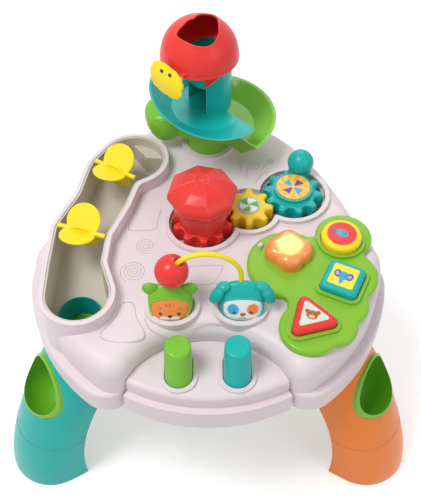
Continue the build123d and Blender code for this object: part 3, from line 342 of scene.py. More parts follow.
lens_low, lens_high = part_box("flower_light")
lens_middle = (lens_low + lens_high) / 2
lens_reach = (lens_high.x - lens_low.x) / 2
for name, hot, cool, strength in (
        ("light_lens", swatch(255, 236, 120), swatch(238, 132, 62), 0.35),
        ("light_core", swatch(255, 240, 150), swatch(250, 190, 80), 0.6)):
    finishes[name] = glowing_lens(name, lens_middle, lens_reach, hot, cool, strength)
print("lens centre", [round(v, 4) for v in lens_middle])

# %% [markdown]
# ## Dressing the CAD nodes
#
# The record names a material slot for every node. Each node's own material
# slots are filled with the finish of that name, and the shape is left as it
# is.

# %% Give every node its finish
for part in frame["record"]["subparts"]:
    node = nodes[part["node"]]
    material = finishes[part["material_slot"]]
    if part["node"] == "yellow_gear":
        material = plastic("mustard_plastic", MUSTARD)
    node.data.materials.clear()
    node.data.materials.append(material)

# %% [markdown]
# ## Making a piece
#
# Every new piece goes through the same last steps: its normals are made to
# point outwards, its faces are shaded smooth, it gets its finish, it is hung on
# the body it rides on, and the CAD nodes it stands for are hidden.

# %% The last steps of a piece
def place_piece(name, bm, material, body, replaced=(), sharp=40.0):
    bmesh.ops.recalc_face_normals(bm, faces=bm.faces)
    for face in bm.faces:
        face.smooth = True
    for edge in bm.edges:
        if len(edge.link_faces) == 2 and edge.calc_face_angle(0.0) > math.radians(sharp):
            edge.smooth = False
    mesh = bpy.data.meshes.new(name)
    bm.to_mesh(mesh)
    bm.free()
    mesh.materials.append(material)
    piece = bpy.data.objects.new(name, mesh)
    bpy.context.scene.collection.objects.link(piece)
    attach(piece, body)
    if replaced:
        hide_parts(*replaced)
    print(name, len(mesh.polygons), "faces")
    return piece


def top_of(node):
    """Height of a node's top, in millimetres."""
    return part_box(node)[1].z * 1000


def ring_stack(levels, capped=False, closed=False):
    """Rings of places, each made by the circle operator and set in place, bridged in order."""
    bm = bmesh.new()
    rings = []
    for level in levels:
        made = bmesh.ops.create_circle(bm, cap_ends=False, segments=len(level), radius=0.01)["verts"]
        for vert, spot in zip(made, level):
            vert.co = spot
        rings.append(made)
    loops = [list(dict.fromkeys(e for vert in ring for e in vert.link_edges)) for ring in rings]
    for low, high in zip(loops, loops[1:] + (loops[:1] if closed else [])):
        bmesh.ops.bridge_loops(bm, edges=low + high)
    if capped:
        for loop in (loops[0], loops[-1]):
            bmesh.ops.edgeloop_fill(bm, edges=loop)
    return bm


def rod(name, places, radius, flat=1.0, lift=0.0, closed=False):
    """A smooth rod along the places, in millimetres, as a bmesh."""
    curve = bpy.data.curves.new(name, "CURVE")
    curve.dimensions = "3D"
    curve.bevel_depth = radius / 1000
    curve.bevel_resolution = 2
    curve.use_fill_caps = True
    line = curve.splines.new("NURBS")
    line.points.add(len(places) - 1)
    for point, place in zip(line.points, places):
        point.co = (place[0] / 1000, place[1] / 1000, place[2] / 1000, 1.0)
    line.order_u = 3
    line.use_endpoint_u = not closed
    line.use_cyclic_u = closed
    line.resolution_u = 4
    holder = bpy.data.objects.new(name, curve)
    mesh = bpy.data.meshes.new_from_object(holder)
    bm = bmesh.new()
    bm.from_mesh(mesh)
    bpy.data.objects.remove(holder)
    bpy.data.curves.remove(curve)
    bpy.data.meshes.remove(mesh)
    bmesh.ops.remove_doubles(bm, verts=bm.verts, dist=1e-6)
    middle = lift / 1000
    for vert in bm.verts:
        vert.co.z = middle + (vert.co.z - middle) * flat
    return bm


# %% [markdown]
# ## Lines in the table top
#
# The white top is decorated with fine engraved lines: two spirals beside the
# ball run and a few quiet outlines round the pieces. A groove this fine reads
# as a soft dark line, so each one is a thin flat bead of a shadowed white set
# into the surface, which follows the line more cleanly than a cut would.

# %% Engraved lines
top_z = 300.0
groove = plastic("groove_shadow", swatch(184, 172, 174), 0.6, 0.0, 1100.0, 0.1)
line_half = 0.55
line_flat = 0.35         # height of a line over its width

outlines = {
    "line_pad": [(-101, -139), (-92, -137), (-86, -141), (-84, -158), (-76, -173), (-71, -184), (-76, -191),
                 (-92, -194), (-110, -193), (-123, -188), (-123, -180), (-114, -170), (-106, -157),
                 (-103, -145)],
    "line_gears": [(-101, -14), (-101, -25), (-97, -28), (-69, -27), (-64, -21), (-64, -7), (-60, 8)],
    "line_arch": [(-24, -85), (15, -81), (19, -87), (12, -100), (7, -109), (2, -112), (-18, -113)],
    "line_left": [(-74, -160), (-70, -174), (-57, -183), (-44, -187), (-32, -184), (-22, -174), (-11, -169),
                  (4, -167), (24, -170)],
}
for name, places in outlines.items():
    bm = rod(name, [(x, y, top_z) for x, y in places], line_half, line_flat, top_z, name == "line_pad")
    place_piece(name, bm, groove, "table")


def spiral(centre, reach, turns, start_deg, tail):
    places = []
    steps = int(turns * 16)
    for k in range(steps + 1):
        r = reach * (0.06 + 0.94 * k / steps)
        a = math.radians(start_deg) - 2 * math.pi * turns * (1 - k / steps)
        places.append((centre[0] + r * math.cos(a), centre[1] + r * math.sin(a), top_z))
    return places + [(*tail, top_z)]


for name, centre, reach, turns, start, tail in (
        ("sprig_curl_a", (62.0, 86.0), 9.0, 1.8, 200.0, (50.0, 62.0)),
        ("sprig_curl_b", (80.0, 70.0), 7.5, 1.7, 150.0, (62.0, 56.0)),
        ("sprig_curl_c", (46.0, 96.0), 6.0, 1.6, 240.0, (44.0, 74.0)),
        ("sprig_curl_d", (84.0, 94.0), 5.5, 1.5, 200.0, (72.0, 80.0)),
        ("spiral_large", (-90.5, -92.5), 16.5, 3.6, 245.0, (-101.0, -109.0)),
        ("spiral_small", (-77.5, -52.0), 12.5, 3.0, 300.0, (-69.0, -64.0))):
    bm = rod(name, spiral(centre, reach, turns, start, tail), line_half * 0.9, line_flat, top_z)
    place_piece(name, bm, groove, "table")

# %% [markdown]
# ## The sleeve in the drop hole
#
# Looking down the hole at the end of the ball run, one sees the teal of the
# leg below. A thin teal sleeve lines the hole from just under the trough's
# floor downwards.

# %% Drop sleeve
drop_at = (-156.0, -128.5)
sleeve_profile = ((26.7, 170.0), (26.7, 261.6), (25.6, 262.0), (25.6, 169.6))


def circle_at(centre, radius, z, steps=64):
    turns = [2 * math.pi * k / steps for k in range(steps)]
    middle = Vector((*centre, z))
    return [(middle + radius * Vector((math.cos(a), math.sin(a), 0.0))) / 1000 for a in turns]


sleeve = [circle_at(drop_at, r, z) for r, z in sleeve_profile]
bm = ring_stack(sleeve, closed=True)
place_piece("drop_sleeve", bm, finishes["teal_plastic"], "table")

# %% [markdown]
# ## Seams round the legs
#
# Each leg is moulded in two lengths that meet in a fine seam low down. The
# seam follows the leg's own skin: the leg is cut by a level plane, and a
# hair-thin bead runs along the outer outline of that cut.

# %% Leg seams
def cut_outline(node, level):
    """The longest run of places where a node's skin crosses a level, in millimetres, in order."""
    bm = bmesh.new()
    bm.from_mesh(nodes[node].data)
    bmesh.ops.remove_doubles(bm, verts=bm.verts, dist=1e-6)
    cut = bmesh.ops.bisect_plane(bm, geom=bm.verts[:] + bm.edges[:] + bm.faces[:],
                                 plane_co=(0, 0, level / 1000), plane_no=(0, 0, 1))
    left = dict.fromkeys(e for e in cut["geom_cut"] if isinstance(e, bmesh.types.BMEdge))
    chains = []
    while left:
        first = next(iter(left))
        del left[first]
        chain = [first.verts[0], first.verts[1]]
        for way in (-1, 0):
            following = True
            while following:
                following = next((e for e in chain[way].link_edges if e in left), None)
                if following:
                    del left[following]
                    chain.insert(len(chain) if way else 0, following.other_vert(chain[way]))
        chains.append([tuple(v.co * 1000) for v in chain])
    bm.free()
    return max(chains, key=len)


seam_z = 84.0
seam_reach = 12.0         # how far inwards of the leg's middle the seam is followed
seam_skip = 3              # every third place is kept
seam_half = 0.45
for leg, slot, tone in (
        ("left_leg", "teal_plastic", swatch(16, 140, 130)),
        ("right_leg", "orange_plastic", swatch(206, 108, 36)),
        ("rear_leg", "red_plastic", swatch(190, 44, 40))):
    middle = (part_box(leg)[0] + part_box(leg)[1]) / 2 * 1000
    inmost = math.hypot(middle.x, middle.y) - seam_reach
    outer = [p for p in cut_outline(leg, seam_z) if math.hypot(p[0], p[1]) > inmost]
    start = max(range(len(outer)), key=lambda k: math.dist(outer[k], outer[k - 1]))
    line = outer[start:] + outer[:start]
    bm = rod("seam", line[::seam_skip], seam_half)
    place_piece(f"{leg}_seam", bm, plastic(f"{leg}_seam_shadow", tone), "table")

# %% [markdown]
# ## The umbrella knob
#
# The red gear is turned by a tall knob that spreads like an eight sided
# umbrella. One profile is spun in eight steps, which gives the eight flat
# panels at once; the ribs are then bevelled round, as the mould leaves them.
# The raised rings and ribs on top are thin rods that follow the slope.

# %% Umbrella knob
red_centre = (-7.0, -17.5)
knob_sides = 8
knob_turn = 9.5
knob_profile = ((0.0, 312.0), (31.0, 312.0), (34.0, 328.0), (38.6, 346.0), (42.8, 353.5), (43.6, 356.5),
                (43.6, 361.0), (41.6, 364.8), (35.8, 370.8), (24.6, 377.6), (12.2, 381.4), (5.0, 382.3),
                (0.0, 382.4))
rim_step = 6             # first profile point of the canopy's slope


def turned(profile, centre, steps, turn):
    """A profile of (radius, height) in millimetres spun about an upright axis."""
    bm = bmesh.new()
    a = math.radians(turn)
    outward = Vector((math.cos(a), math.sin(a), 0.0))
    ring = [bm.verts.new((Vector((*centre, z)) + r * outward) / 1000) for r, z in profile]
    edges = [bm.edges.new(pair) for pair in zip(ring, ring[1:])]
    bmesh.ops.spin(bm, geom=ring + edges, cent=(centre[0] / 1000, centre[1] / 1000, 0.0), axis=(0, 0, 1),
                   angle=2 * math.pi, steps=steps, use_merge=True)
    bmesh.ops.remove_doubles(bm, verts=bm.verts, dist=1e-6)
    return bm


def round_edges(bm, offset, segments, least_deg):
    bmesh.ops.recalc_face_normals(bm, faces=bm.faces)
    least = math.radians(least_deg)
    edges = [e for e in bm.edges if len(e.link_faces) == 2 and e.calc_face_angle(0.0) > least]
    bmesh.ops.bevel(bm, geom=edges, offset=offset / 1000, offset_type="OFFSET", segments=segments,
                    profile=0.5, affect="EDGES", material=-1, clamp_overlap=True)


bm = turned(knob_profile, red_centre, knob_sides, knob_turn)
round_edges(bm, 1.2, 3, 9.0)
red = finishes["red_plastic"]
place_piece("umbrella_canopy", bm, red, "red_gear", ("umbrella_knob",), 60.0)


def slope_z(r):
    """Height of the canopy at a distance from its axis, along a rib."""
    for (r1, z1), (r0, z0) in zip(knob_profile[rim_step:], knob_profile[rim_step + 1:]):
        if r0 <= r <= r1:
            return z0 + (z1 - z0) * (r - r0) / (r1 - r0)
    return knob_profile[-1][1]


def canopy_place(angle, r, z):
    return (red_centre[0] + r * math.cos(angle), red_centre[1] + r * math.sin(angle), z)


canopy_rod = 0.9         # radius of the raised rings and ribs
ring_places = 16
rib_radii = (10.0, 16.0, 22.0, 28.0, 33.5, 38.5)
rib_sink = 0.35
for k, radius in enumerate((4.2, 9.4)):
    turns = [2 * math.pi * step / ring_places for step in range(ring_places)]
    places = [canopy_place(a, radius, slope_z(radius * 1.04)) for a in turns]
    bm = rod("ring", places, canopy_rod, closed=True)
    place_piece(f"canopy_ring_{k}", bm, red, "red_gear")
for k in range(knob_sides):
    a = math.radians(knob_turn + 360.0 * k / knob_sides)
    places = [canopy_place(a, r, slope_z(r) - rib_sink) for r in rib_radii]
    bm = rod("rib", places, canopy_rod)
    place_piece(f"canopy_rib_{k}", bm, red, "red_gear")

# %% [markdown]
# ## Printed labels
#
# Each round label is a printed disc: a rim, a ground and a fan of blades that
# turns with the angle round the middle. The fan is worked out in the
# material from the angle and the distance, so it needs no picture and turns
# with its gear. The little figures on top are low domed patches, as thick as
# a raised print.

# %% A printed disc
def printed_disc(name, centre, radius, ground, blade, rim, blades, swirl, rim_share):
    material = plastic(name, ground, *PRINTED)
    tree = material.node_tree
    skin = next(n for n in tree.nodes if n.type == "GROUP")
    axes = tree.nodes.new("ShaderNodeSeparateXYZ")
    tree.links.new(centred_place(tree, centre[0] / 1000, centre[1] / 1000), axes.inputs[0])
    angle = math_node(tree, "ARCTAN2", axes.outputs["Y"], axes.outputs["X"])
    square = math_node(tree, "ADD", math_node(tree, "MULTIPLY", axes.outputs["X"], axes.outputs["X"]),
                       math_node(tree, "MULTIPLY", axes.outputs["Y"], axes.outputs["Y"]))
    share = math_node(tree, "DIVIDE", math_node(tree, "SQRT", square), radius / 1000)
    wave = math_node(tree, "SINE", math_node(tree, "ADD", math_node(tree, "MULTIPLY", angle, blades),
                                             math_node(tree, "MULTIPLY", share, swirl)))
    fan = clamped(tree, math_node(tree, "MULTIPLY", wave, 12.0))
    edge = clamped(tree, math_node(tree, "MULTIPLY", math_node(tree, "SUBTRACT", share, rim_share), 60.0))
    colour = blend_node(tree, "MIX", fan, ground, blade)
    colour = blend_node(tree, "MIX", edge, colour, rim)
    tree.links.new(colour, skin.inputs["Colour"])
    return material


yellow_centre = (52.01, 4.56)
teal_centre = (109.34, 30.69)
ball_print = printed_disc("fan_print", yellow_centre, 14.0, swatch(236, 242, 238), swatch(92, 178, 60),
                          swatch(176, 184, 196), 3.0, 1.6, 0.84)
swirl_print = printed_disc("swirl_print", teal_centre, 21.5, swatch(240, 176, 40), swatch(246, 198, 78),
                           swatch(240, 176, 40), 11.0, 5.0, 0.97)
nodes["yellow_gear_label"].data.materials[0] = ball_print
nodes["teal_gear_label"].data.materials[0] = swirl_print

# %% [markdown]
# ## Raised figures
#
# A figure on a label or a face is built from patches that lie in one plane.
# A plane here is an origin, a right hand direction and an up direction; its
# patches are flattened balls, half sunk, so their edges run out to nothing
# like thick ink.

# %% Patches in a plane
def plane(origin, right, up):
    """Matrix whose x and y lie in the plane, from millimetres."""
    x = Vector(right).normalized()
    z = x.cross(Vector(up)).normalized()
    y = z.cross(x)
    turn = Matrix((x, y, z)).transposed().to_4x4()
    return Matrix.Translation(Vector(origin) / 1000) @ turn


def flat_plane(origin, turn_deg):
    a = math.radians(turn_deg)
    return plane(origin, (math.cos(a), math.sin(a), 0.0), (-math.sin(a), math.cos(a), 0.0))


def add_oval(bm, where, sizes, turn, axis="Z", segments=(24, 10)):
    """A ball with three half sizes in millimetres, turned about its own axis and set in place."""
    around, along = segments
    made = bmesh.ops.create_uvsphere(bm, u_segments=around, v_segments=along, radius=0.001)["verts"]
    shape = Matrix.Rotation(math.radians(turn), 4, axis) @ Matrix.Diagonal((*sizes, 1.0))
    bmesh.ops.transform(bm, matrix=where @ shape, verts=made)


def pair(x, y, a, b, turn=0):
    """An oval to the left of the middle and its mirror image to the right."""
    return [(-x, y, a, b, turn), (x, y, a, b, -turn)]


def patch(name, where, spots, height, material, body):
    """One piece of low domed ovals: (x, y, half width, half height, turn)."""
    bm = bmesh.new()
    for x, y, a, b, turn in spots:
        add_oval(bm, where @ Matrix.Translation((x / 1000, y / 1000, 0.0)), (a, b, height), turn)
    return place_piece(name, bm, material, body)


tile_sink = 0.2            # how deep a flat figure is set in


def tile(name, where, corners, height, material, body):
    """One piece of a flat figure with rounded corners, from its corners."""
    bm = bmesh.new()
    for outline in corners:
        face = bm.faces.new([bm.verts.new((x / 1000, y / 1000, -tile_sink / 1000)) for x, y in outline])
        raised = bmesh.ops.extrude_face_region(bm, geom=[face])["geom"]
        raised = [v for v in raised if isinstance(v, bmesh.types.BMVert)]
        bmesh.ops.translate(bm, vec=(0, 0, (height + tile_sink) / 1000), verts=raised)
    round_edges(bm, height * 0.4, 2, 20.0)
    bmesh.ops.transform(bm, matrix=where, verts=bm.verts)
    return place_piece(name, bm, material, body)


INK = (0.35, 0.3, 2200.0, 0.03)
ink_table = {
    "ink_blue": ((70, 168, 210), INK),
    "ink_deep_blue": ((44, 120, 186), INK),
    "ink_purple": ((122, 72, 150), INK),
    "ink_black": ((40, 34, 34), PRINTED),
    "ink_white": ((240, 238, 232), INK),
    "ink_brown": ((176, 96, 50), INK),
    "ink_cream": ((242, 204, 158), INK),
    "ink_pink": ((232, 158, 170), INK),
    "ink_orange": ((240, 134, 50), INK),
}
inks = {name: plastic(name, swatch(*colour), *skin) for name, (colour, skin) in ink_table.items()}

# %% Figures on the gear and button labels
ink_height = 0.35
blade_count = 4
blade = ((0.0, 0.0), (15.0, 0.0), (9.5, 9.5))
where = flat_plane((*teal_centre, top_of("teal_gear_label")), 20.0)
blades = {"ink_blue": [], "ink_purple": []}
for k in range(blade_count):
    a = 2 * math.pi * k / blade_count
    tips = [(x * math.cos(a) - y * math.sin(a), x * math.sin(a) + y * math.cos(a)) for x, y in blade]
    blades["ink_blue" if k % 2 else "ink_purple"].append(tips)
for ink, corners in blades.items():
    tile(f"windmill_{ink[4:]}", where, corners, ink_height, inks[ink], "teal_gear")
patch("windmill_hub", where, [(0, 0, 2.2, 2.2, 0)], 0.9, inks["ink_white"], "teal_gear")


def figure(button, where, rows):
    """Domed figures on a button's label: name, ovals, height and ink."""
    for name, spots, height, ink in rows:
        patch(name, where, spots, height, inks[ink], button)


where = flat_plane((162.5, -50.5, top_of("round_button_label")), -25.0)
figure("round_button", where, [("fish_body", [(1.0, 0, 8.0, 5.8, 0)], 0.5, "ink_blue")])
fish_tail = [[(-5.5, 0.0), (-12.0, 5.0), (-10.0, 0.0), (-12.0, -5.0)]]
tile("fish_tail", where, fish_tail, ink_height, inks["ink_deep_blue"], "round_button")
figure("round_button", where, [
    ("fish_fin", [(0.0, -1.0, 2.8, 1.6, -30)], 0.8, "ink_orange"),
    ("fish_eye", [(5.0, 1.6, 1.1, 1.1, 0)], 0.8, "ink_black")])

where = flat_plane((158.0, -117.5, top_of("square_button_label")), -28.0)
figure("square_button", where, [
    ("calf_ears", pair(7.0, 2.5, 5.0, 6.0, 20), 0.35, "ink_deep_blue"),
    ("calf_ear_linings", pair(7.6, 2.2, 2.6, 3.6, 20), 0.5, "ink_pink"),
    ("calf_head", [(0.0, 1.5, 6.0, 6.6, 0), (0.0, -5.0, 2.6, 6.0, 0)], 0.55, "ink_blue"),
    ("calf_eyes", pair(2.4, 2.2, 0.8, 0.9), 0.85, "ink_black")])

where = flat_plane((118.0, -171.5, top_of("triangle_button_label")), -15.0)
figure("triangle_button", where, [
    ("cub_ears", pair(6.2, 4.2, 3.0, 3.0), 0.35, "ink_brown"),
    ("cub_head", [(0.0, 0.0, 7.0, 6.4, 0)], 0.5, "ink_brown"),
    ("cub_muzzle", [(0.0, -2.2, 4.0, 2.8, 0)], 0.75, "ink_cream"),
    ("cub_eyes_nose", pair(2.6, 1.6, 0.8, 0.9) + [(0.0, -1.2, 1.2, 0.8, 0)], 0.95, "ink_black")])

# %% [markdown]
# ## The two heads
#
# Each foot of the wire ends in a wide rounded head in a hood. A head is a
# stack of rings, each a rounded oblong with its own half width and its own
# reach to the front and the back, so the front leans back like a tipped
# plate. One function gives the skin's place at any height and sideways share;
# the face plate, its rim and the features are all laid on that skin.

# %% The skin of a head
head_rings = ((-4.0, 23.5, 19.5, 19.0), (0.0, 24.5, 20.5, 19.0), (8.0, 25.5, 19.5, 18.5),
              (18.0, 26.5, 14.0, 17.5), (26.0, 25.5, 9.0, 16.0), (32.0, 22.5, 4.4, 13.6),
              (36.5, 16.5, 0.0, 10.0), (39.0, 9.0, -3.0, 6.5))
head_square = 2.5          # 2 is an oval, more is squarer
head_y = -145.5
head_foot_z = 300.0


def head_ring(level):
    """Half width, front reach and back reach at a height above the foot."""
    for (z0, *low), (z1, *high) in zip(head_rings, head_rings[1:]):
        if level <= z1:
            share = (level - z0) / (z1 - z0)
            return [a + (b - a) * share for a, b in zip(low, high)]
    return list(head_rings[-1][1:])


def head_skin(x, level, scale):
    """Point on the front of a head, x sideways from its middle."""
    half, front, back = head_ring(level / scale)
    across = min(abs(x) / half, 1.0)
    middle = (back - front) / 2
    reach = (back + front) / 2 * (1 - across ** head_square) ** (1 / head_square)
    return Vector((x, middle - reach, level))


def plate_edge(angle, wide, tall, square=2.6):
    c, s = math.cos(angle), math.sin(angle)
    return (wide * math.copysign(abs(c) ** (2 / square), c), tall * math.copysign(abs(s) ** (2 / square), s))


def head_shell(centre_x, scale, steps=48):
    levels = []
    for z, half, front, back in head_rings:
        ring = []
        for k in range(steps):
            x, y = plate_edge(2 * math.pi * k / steps, half, (back + front) / 2, head_square)
            middle = Vector((centre_x, head_y + (back - front) / 2, head_foot_z))
            ring.append((middle + Vector((x, y, z * (scale if z > 0 else 1)))) / 1000)
        levels.append(ring)
    return ring_stack(levels, capped=True)


def smooth_piece(name, bm, material, body, replaced=(), levels=2):
    piece = place_piece(name, bm, material, body, replaced, 180.0)
    rounder = piece.modifiers.new("rounder", "SUBSURF")
    rounder.levels = levels
    rounder.render_levels = levels
    return piece


# %% Things laid on the skin
def on_skin(centre_x, scale, x, level):
    """Plane that lies on the front of a head at one place."""
    here = head_skin(x, level, scale)
    right = head_skin(x + 0.5, level, scale) - head_skin(x - 0.5, level, scale)
    up = head_skin(x, level + 0.5, scale) - head_skin(x, level - 0.5, scale)
    return plane((centre_x + here.x, head_y + here.y, head_foot_z + here.z), right, up)


def feature(name, head, spots, height, ink):
    """Domed ovals on a head's face: (x, level, half width, half height, turn)."""
    centre_x, scale = head
    bm = bmesh.new()
    for x, level, a, b, turn in spots:
        where = on_skin(centre_x, scale, x, level) @ Matrix.Translation((0, 0, plate_t / 1000))
        add_oval(bm, where, (a, b, height), turn, segments=(20, 10))
    return place_piece(name, bm, ink, "table")


def face_plate(name, head, middle, wide, tall, material, replaced, steps=48, rows=8):
    """Thin plate that follows the skin, with a rounded outline."""
    centre_x, scale = head
    levels = []
    for lift, shares in ((plate_t, range(1, rows + 1)), (-0.8, range(rows, 0, -1))):
        for j in shares:
            drop = 0.5 if lift > 0 and j == rows else 0.0
            above = Vector((0, 0, (lift - drop) / 1000))
            turns = [2 * math.pi * k / steps for k in range(steps)]
            outline = [plate_edge(a, wide * j / rows, tall * j / rows) for a in turns]
            levels.append([on_skin(centre_x, scale, x, middle + z) @ above for x, z in outline])
    return place_piece(name, ring_stack(levels, capped=True), material, "table", replaced, 50.0)


def face_rim(name, head, middle, wide, tall, material, steps=40):
    """Raised rim round a face plate."""
    above = Vector((0, 0, 0.0004))
    outline = [plate_edge(2 * math.pi * k / steps, wide, tall) for k in range(steps)]
    places = [tuple((on_skin(*head, x, middle + z) @ above) * 1000) for x, z in outline]
    place_piece(name, rod("rim", places, 1.3, closed=True), material, "table")


def ear_pair(name, head, spots, material):
    """Ovals beside the head: (x, y, level, half sizes, roll)."""
    bm = bmesh.new()
    for side in (-1, 1):
        for x, y, level, size, roll in spots:
            place = Vector((head[0] + side * x, head_y + y, head_foot_z + level)) / 1000
            add_oval(bm, Matrix.Translation(place), size, side * roll, "Y", (24, 14))
    return place_piece(name, bm, material, "table")


def features(side, head, rows):
    """Domed features of one face: name, ovals, height and ink."""
    for name, spots, height, ink in rows:
        feature(f"{side}_{name}", head, spots, height, inks[ink])


# %% Left head: a marmalade cat in a green hood
plate_t = 0.9
left = (-43.5, 1.0)
green = finishes["green_plastic"]
smooth_piece("left_hood", head_shell(*left), green, "table", ("left_head",), 1)
face_plate("left_plate", left, 14.6, 21.5, 12.4, finishes["orange_face"], ("left_face",))
face_rim("left_face_rim", left, 14.6, 22.6, 13.4, green)
ear_pair("left_ears", left, [(22.0, 3.0, 33.0, (9.5, 4.8, 11.0), 40.0)], green)
features("left", left, [
    ("cheeks", pair(5.4, 6.6, 6.4, 3.6, -8), 0.5, "ink_white"),
    ("nose", [(0.0, 9.6, 2.7, 1.6, 0)], 0.9, "ink_black"),
    ("mouth", [(0.0, 6.4, 0.45, 2.0, 0)], 0.8, "ink_brown"),
    ("eyes", pair(10.6, 12.2, 2.2, 2.0), 0.5, "ink_black"),
    ("eye_glints", [(-9.9, 12.9, 0.6, 0.6, 0), (11.3, 12.9, 0.6, 0.6, 0)], 0.8, "ink_white"),
    ("brows", pair(11.0, 18.0, 2.0, 0.7, 12) + [(0.0, 21.4, 0.8, 2.6, 0)] + pair(4.0, 21.6, 0.7, 2.0, 14),
     0.4, "ink_brown")])

# %% Right head: a patched puppy in a teal hood
right = (40.0, 1.1)
teal = finishes["teal_plastic"]
right_ears = [(29.5, -1.0, 26.5, (7.4, 8.5, 14.0), -26.0), (22.5, 2.0, 38.0, (9.0, 7.0, 5.6), 20.0)]
smooth_piece("right_hood", head_shell(*right), teal, "table", ("right_head",), 1)
face_plate("right_plate", right, 15.6, 22.0, 13.0, finishes["white_face"], ("right_face",))
face_rim("right_face_rim", right, 15.6, 23.1, 14.0, teal)
ear_pair("right_ears", right, right_ears, teal)
features("right", right, [
    ("patch_blue", [(-11.0, 17.5, 6.6, 7.4, 20)], 0.35, "ink_blue"),
    ("patch_orange", [(11.0, 17.5, 6.6, 7.4, -20)], 0.35, "ink_orange"),
    ("eyes", pair(9.6, 14.6, 2.2, 2.0), 0.65, "ink_black"),
    ("eye_glints", [(-8.9, 15.3, 0.6, 0.6, 0), (10.3, 15.3, 0.6, 0.6, 0)], 0.95, "ink_white"),
    ("nose", [(0.0, 12.4, 3.4, 2.2, 0)], 1.0, "ink_brown"),
    ("mouth", pair(2.2, 8.4, 2.4, 0.5, 24), 0.5, "ink_brown")])

# %% [markdown]
# ## The hood on the tower
#
# The red hood is a dome with a wide pointed mouth. Every point of its skin is
# seen from the dome's middle under one bearing, so the mouth's edge is simply
# a height for each bearing, and the wall is rows of points between the rim
# and that edge. A raised bead runs round both edges. The hood's floor and
# chute are kept from the CAD node, cut level just above the floor; its skirt
# is cut on a slope, which leaves the red wedge that shows under the dome.

# %% Hood
dome_at = (-10.5, 127.5)
dome_z = 458.0
dome_r = 48.5
dome_high = 45.1
dome_wall = 2.4
mouth_edge = ((-165.0, 64.8), (-156.0, 48.5), (-122.0, 48.3), (-96.5, 45.0), (-76.0, 43.0), (-60.0, 44.5),
              (-44.0, 50.7), (-12.0, 59.4), (18.0, 59.2), (48.0, 53.5), (61.0, 64.7), (100.0, 75.0),
              (146.0, 80.1), (195.0, 64.8))
# Rows of the wall: share of the way up to the mouth's edge, lift off the skin, degrees added
outer_rows = ((0.0, 0.6, -7.0), (0.0, 1.2, -6.0), (0.0, 1.2, -4.4), (0.0, 0.4, -3.2), (0.0, 0.2, 0.0),
              (0.2, 0.0, 0.0), (0.35, 0.0, 0.0), (0.5, 0.0, 0.0), (0.65, 0.0, 0.0), (0.8, 0.0, 0.0),
              (0.9, 0.2, 0.0), (0.96, 0.9, 0.0), (1.0, 1.5, 0.0), (1.02, 0.6, 0.0))
inner_rows = ((1.01, -1.4, 0.0), (0.95, -dome_wall, 0.0), (0.7, -dome_wall, 0.0), (0.45, -dome_wall, 0.0),
              (0.2, -dome_wall, 0.0), (0.0, -dome_wall, 1.0), (0.0, -dome_wall, -6.4))


def mouth_height(bearing):
    """Elevation of the mouth's edge under a bearing, in degrees."""
    first = mouth_edge[0][0]
    turn = (bearing - first) % 360.0 + first
    for (a0, h0), (a1, h1) in zip(mouth_edge, mouth_edge[1:]):
        if a0 <= turn <= a1:
            return h0 + (h1 - h0) * (turn - a0) / (a1 - a0)
    return mouth_edge[0][1]


def dome_point(bearing, height, lift):
    a, e = math.radians(bearing), math.radians(height)
    reach = 1 / math.hypot(math.cos(e) / (dome_r + lift), math.sin(e) / (dome_high + lift))
    aside = Vector((math.cos(e) * math.cos(a), math.cos(e) * math.sin(a), math.sin(e)))
    return (Vector((*dome_at, dome_z)) + reach * aside) / 1000


def hood_dome(steps=96):
    bearings = [360.0 * k / steps for k in range(steps)]
    heights = [mouth_height(bearing) for bearing in bearings]
    for _ in range(2):
        heights = [(heights[k - 1] + 2 * heights[k] + heights[(k + 1) % steps]) / 4 for k in range(steps)]
    levels = []
    for share, lift, extra in outer_rows + inner_rows:
        levels.append([dome_point(b, h * share + extra, lift) for b, h in zip(bearings, heights)])
    return ring_stack(levels, closed=True)


smooth_piece("hood_dome", hood_dome(), red, "table", ("hood",), 1)

hood_cut_z = 461.2
skirt_low = Vector((-4.0, 0.0, 423.0))
skirt_high = Vector((34.0, 0.0, 457.0))
bm = bmesh.new()
bm.from_mesh(nodes["hood"].data)
bmesh.ops.remove_doubles(bm, verts=bm.verts, dist=1e-6)
bmesh.ops.bisect_plane(bm, geom=bm.verts[:] + bm.edges[:] + bm.faces[:], plane_co=(0, 0, hood_cut_z / 1000),
                       plane_no=(0, 0, 1), clear_outer=True)
bmesh.ops.bridge_loops(bm, edges=[e for e in bm.edges if e.is_boundary])
skirt_slope = skirt_high - skirt_low
bmesh.ops.bisect_plane(bm, geom=bm.verts[:] + bm.edges[:] + bm.faces[:], plane_co=skirt_low / 1000,
                       plane_no=(skirt_slope.z, 0.0, -skirt_slope.x), clear_outer=True)
bmesh.ops.triangle_fill(bm, use_beauty=True, edges=[e for e in bm.edges if e.is_boundary])
print("open edges left in the hood's floor:", sum(1 for e in bm.edges if not e.is_manifold))
place_piece("hood_floor", bm, red, "table", ("hood",))

# %% [markdown]
# ## The spout's shell
#
# Beside the tower the lower dish ends in a spout, which from outside is one
# round green bulge. Its shell is a stack of circles whose middles lean back
# with the spout.

# %% Spout shell
# Height, radius and distance back of each ring
spout_rings = ((320.5, 14.0, 133.0), (321.5, 17.5, 133.2), (326.0, 22.0, 134.5), (334.0, 26.0, 136.6),
               (343.0, 28.0, 138.8), (350.0, 28.2, 140.4), (355.0, 26.6, 141.4), (358.6, 22.0, 142.0),
               (360.4, 14.0, 142.4), (361.0, 5.0, 142.5))
spout_x = -57.0


bm = ring_stack([circle_at((spout_x, y), r, z) for z, r, y in spout_rings], capped=True)
place_piece("spout_shell", bm, green, "table")
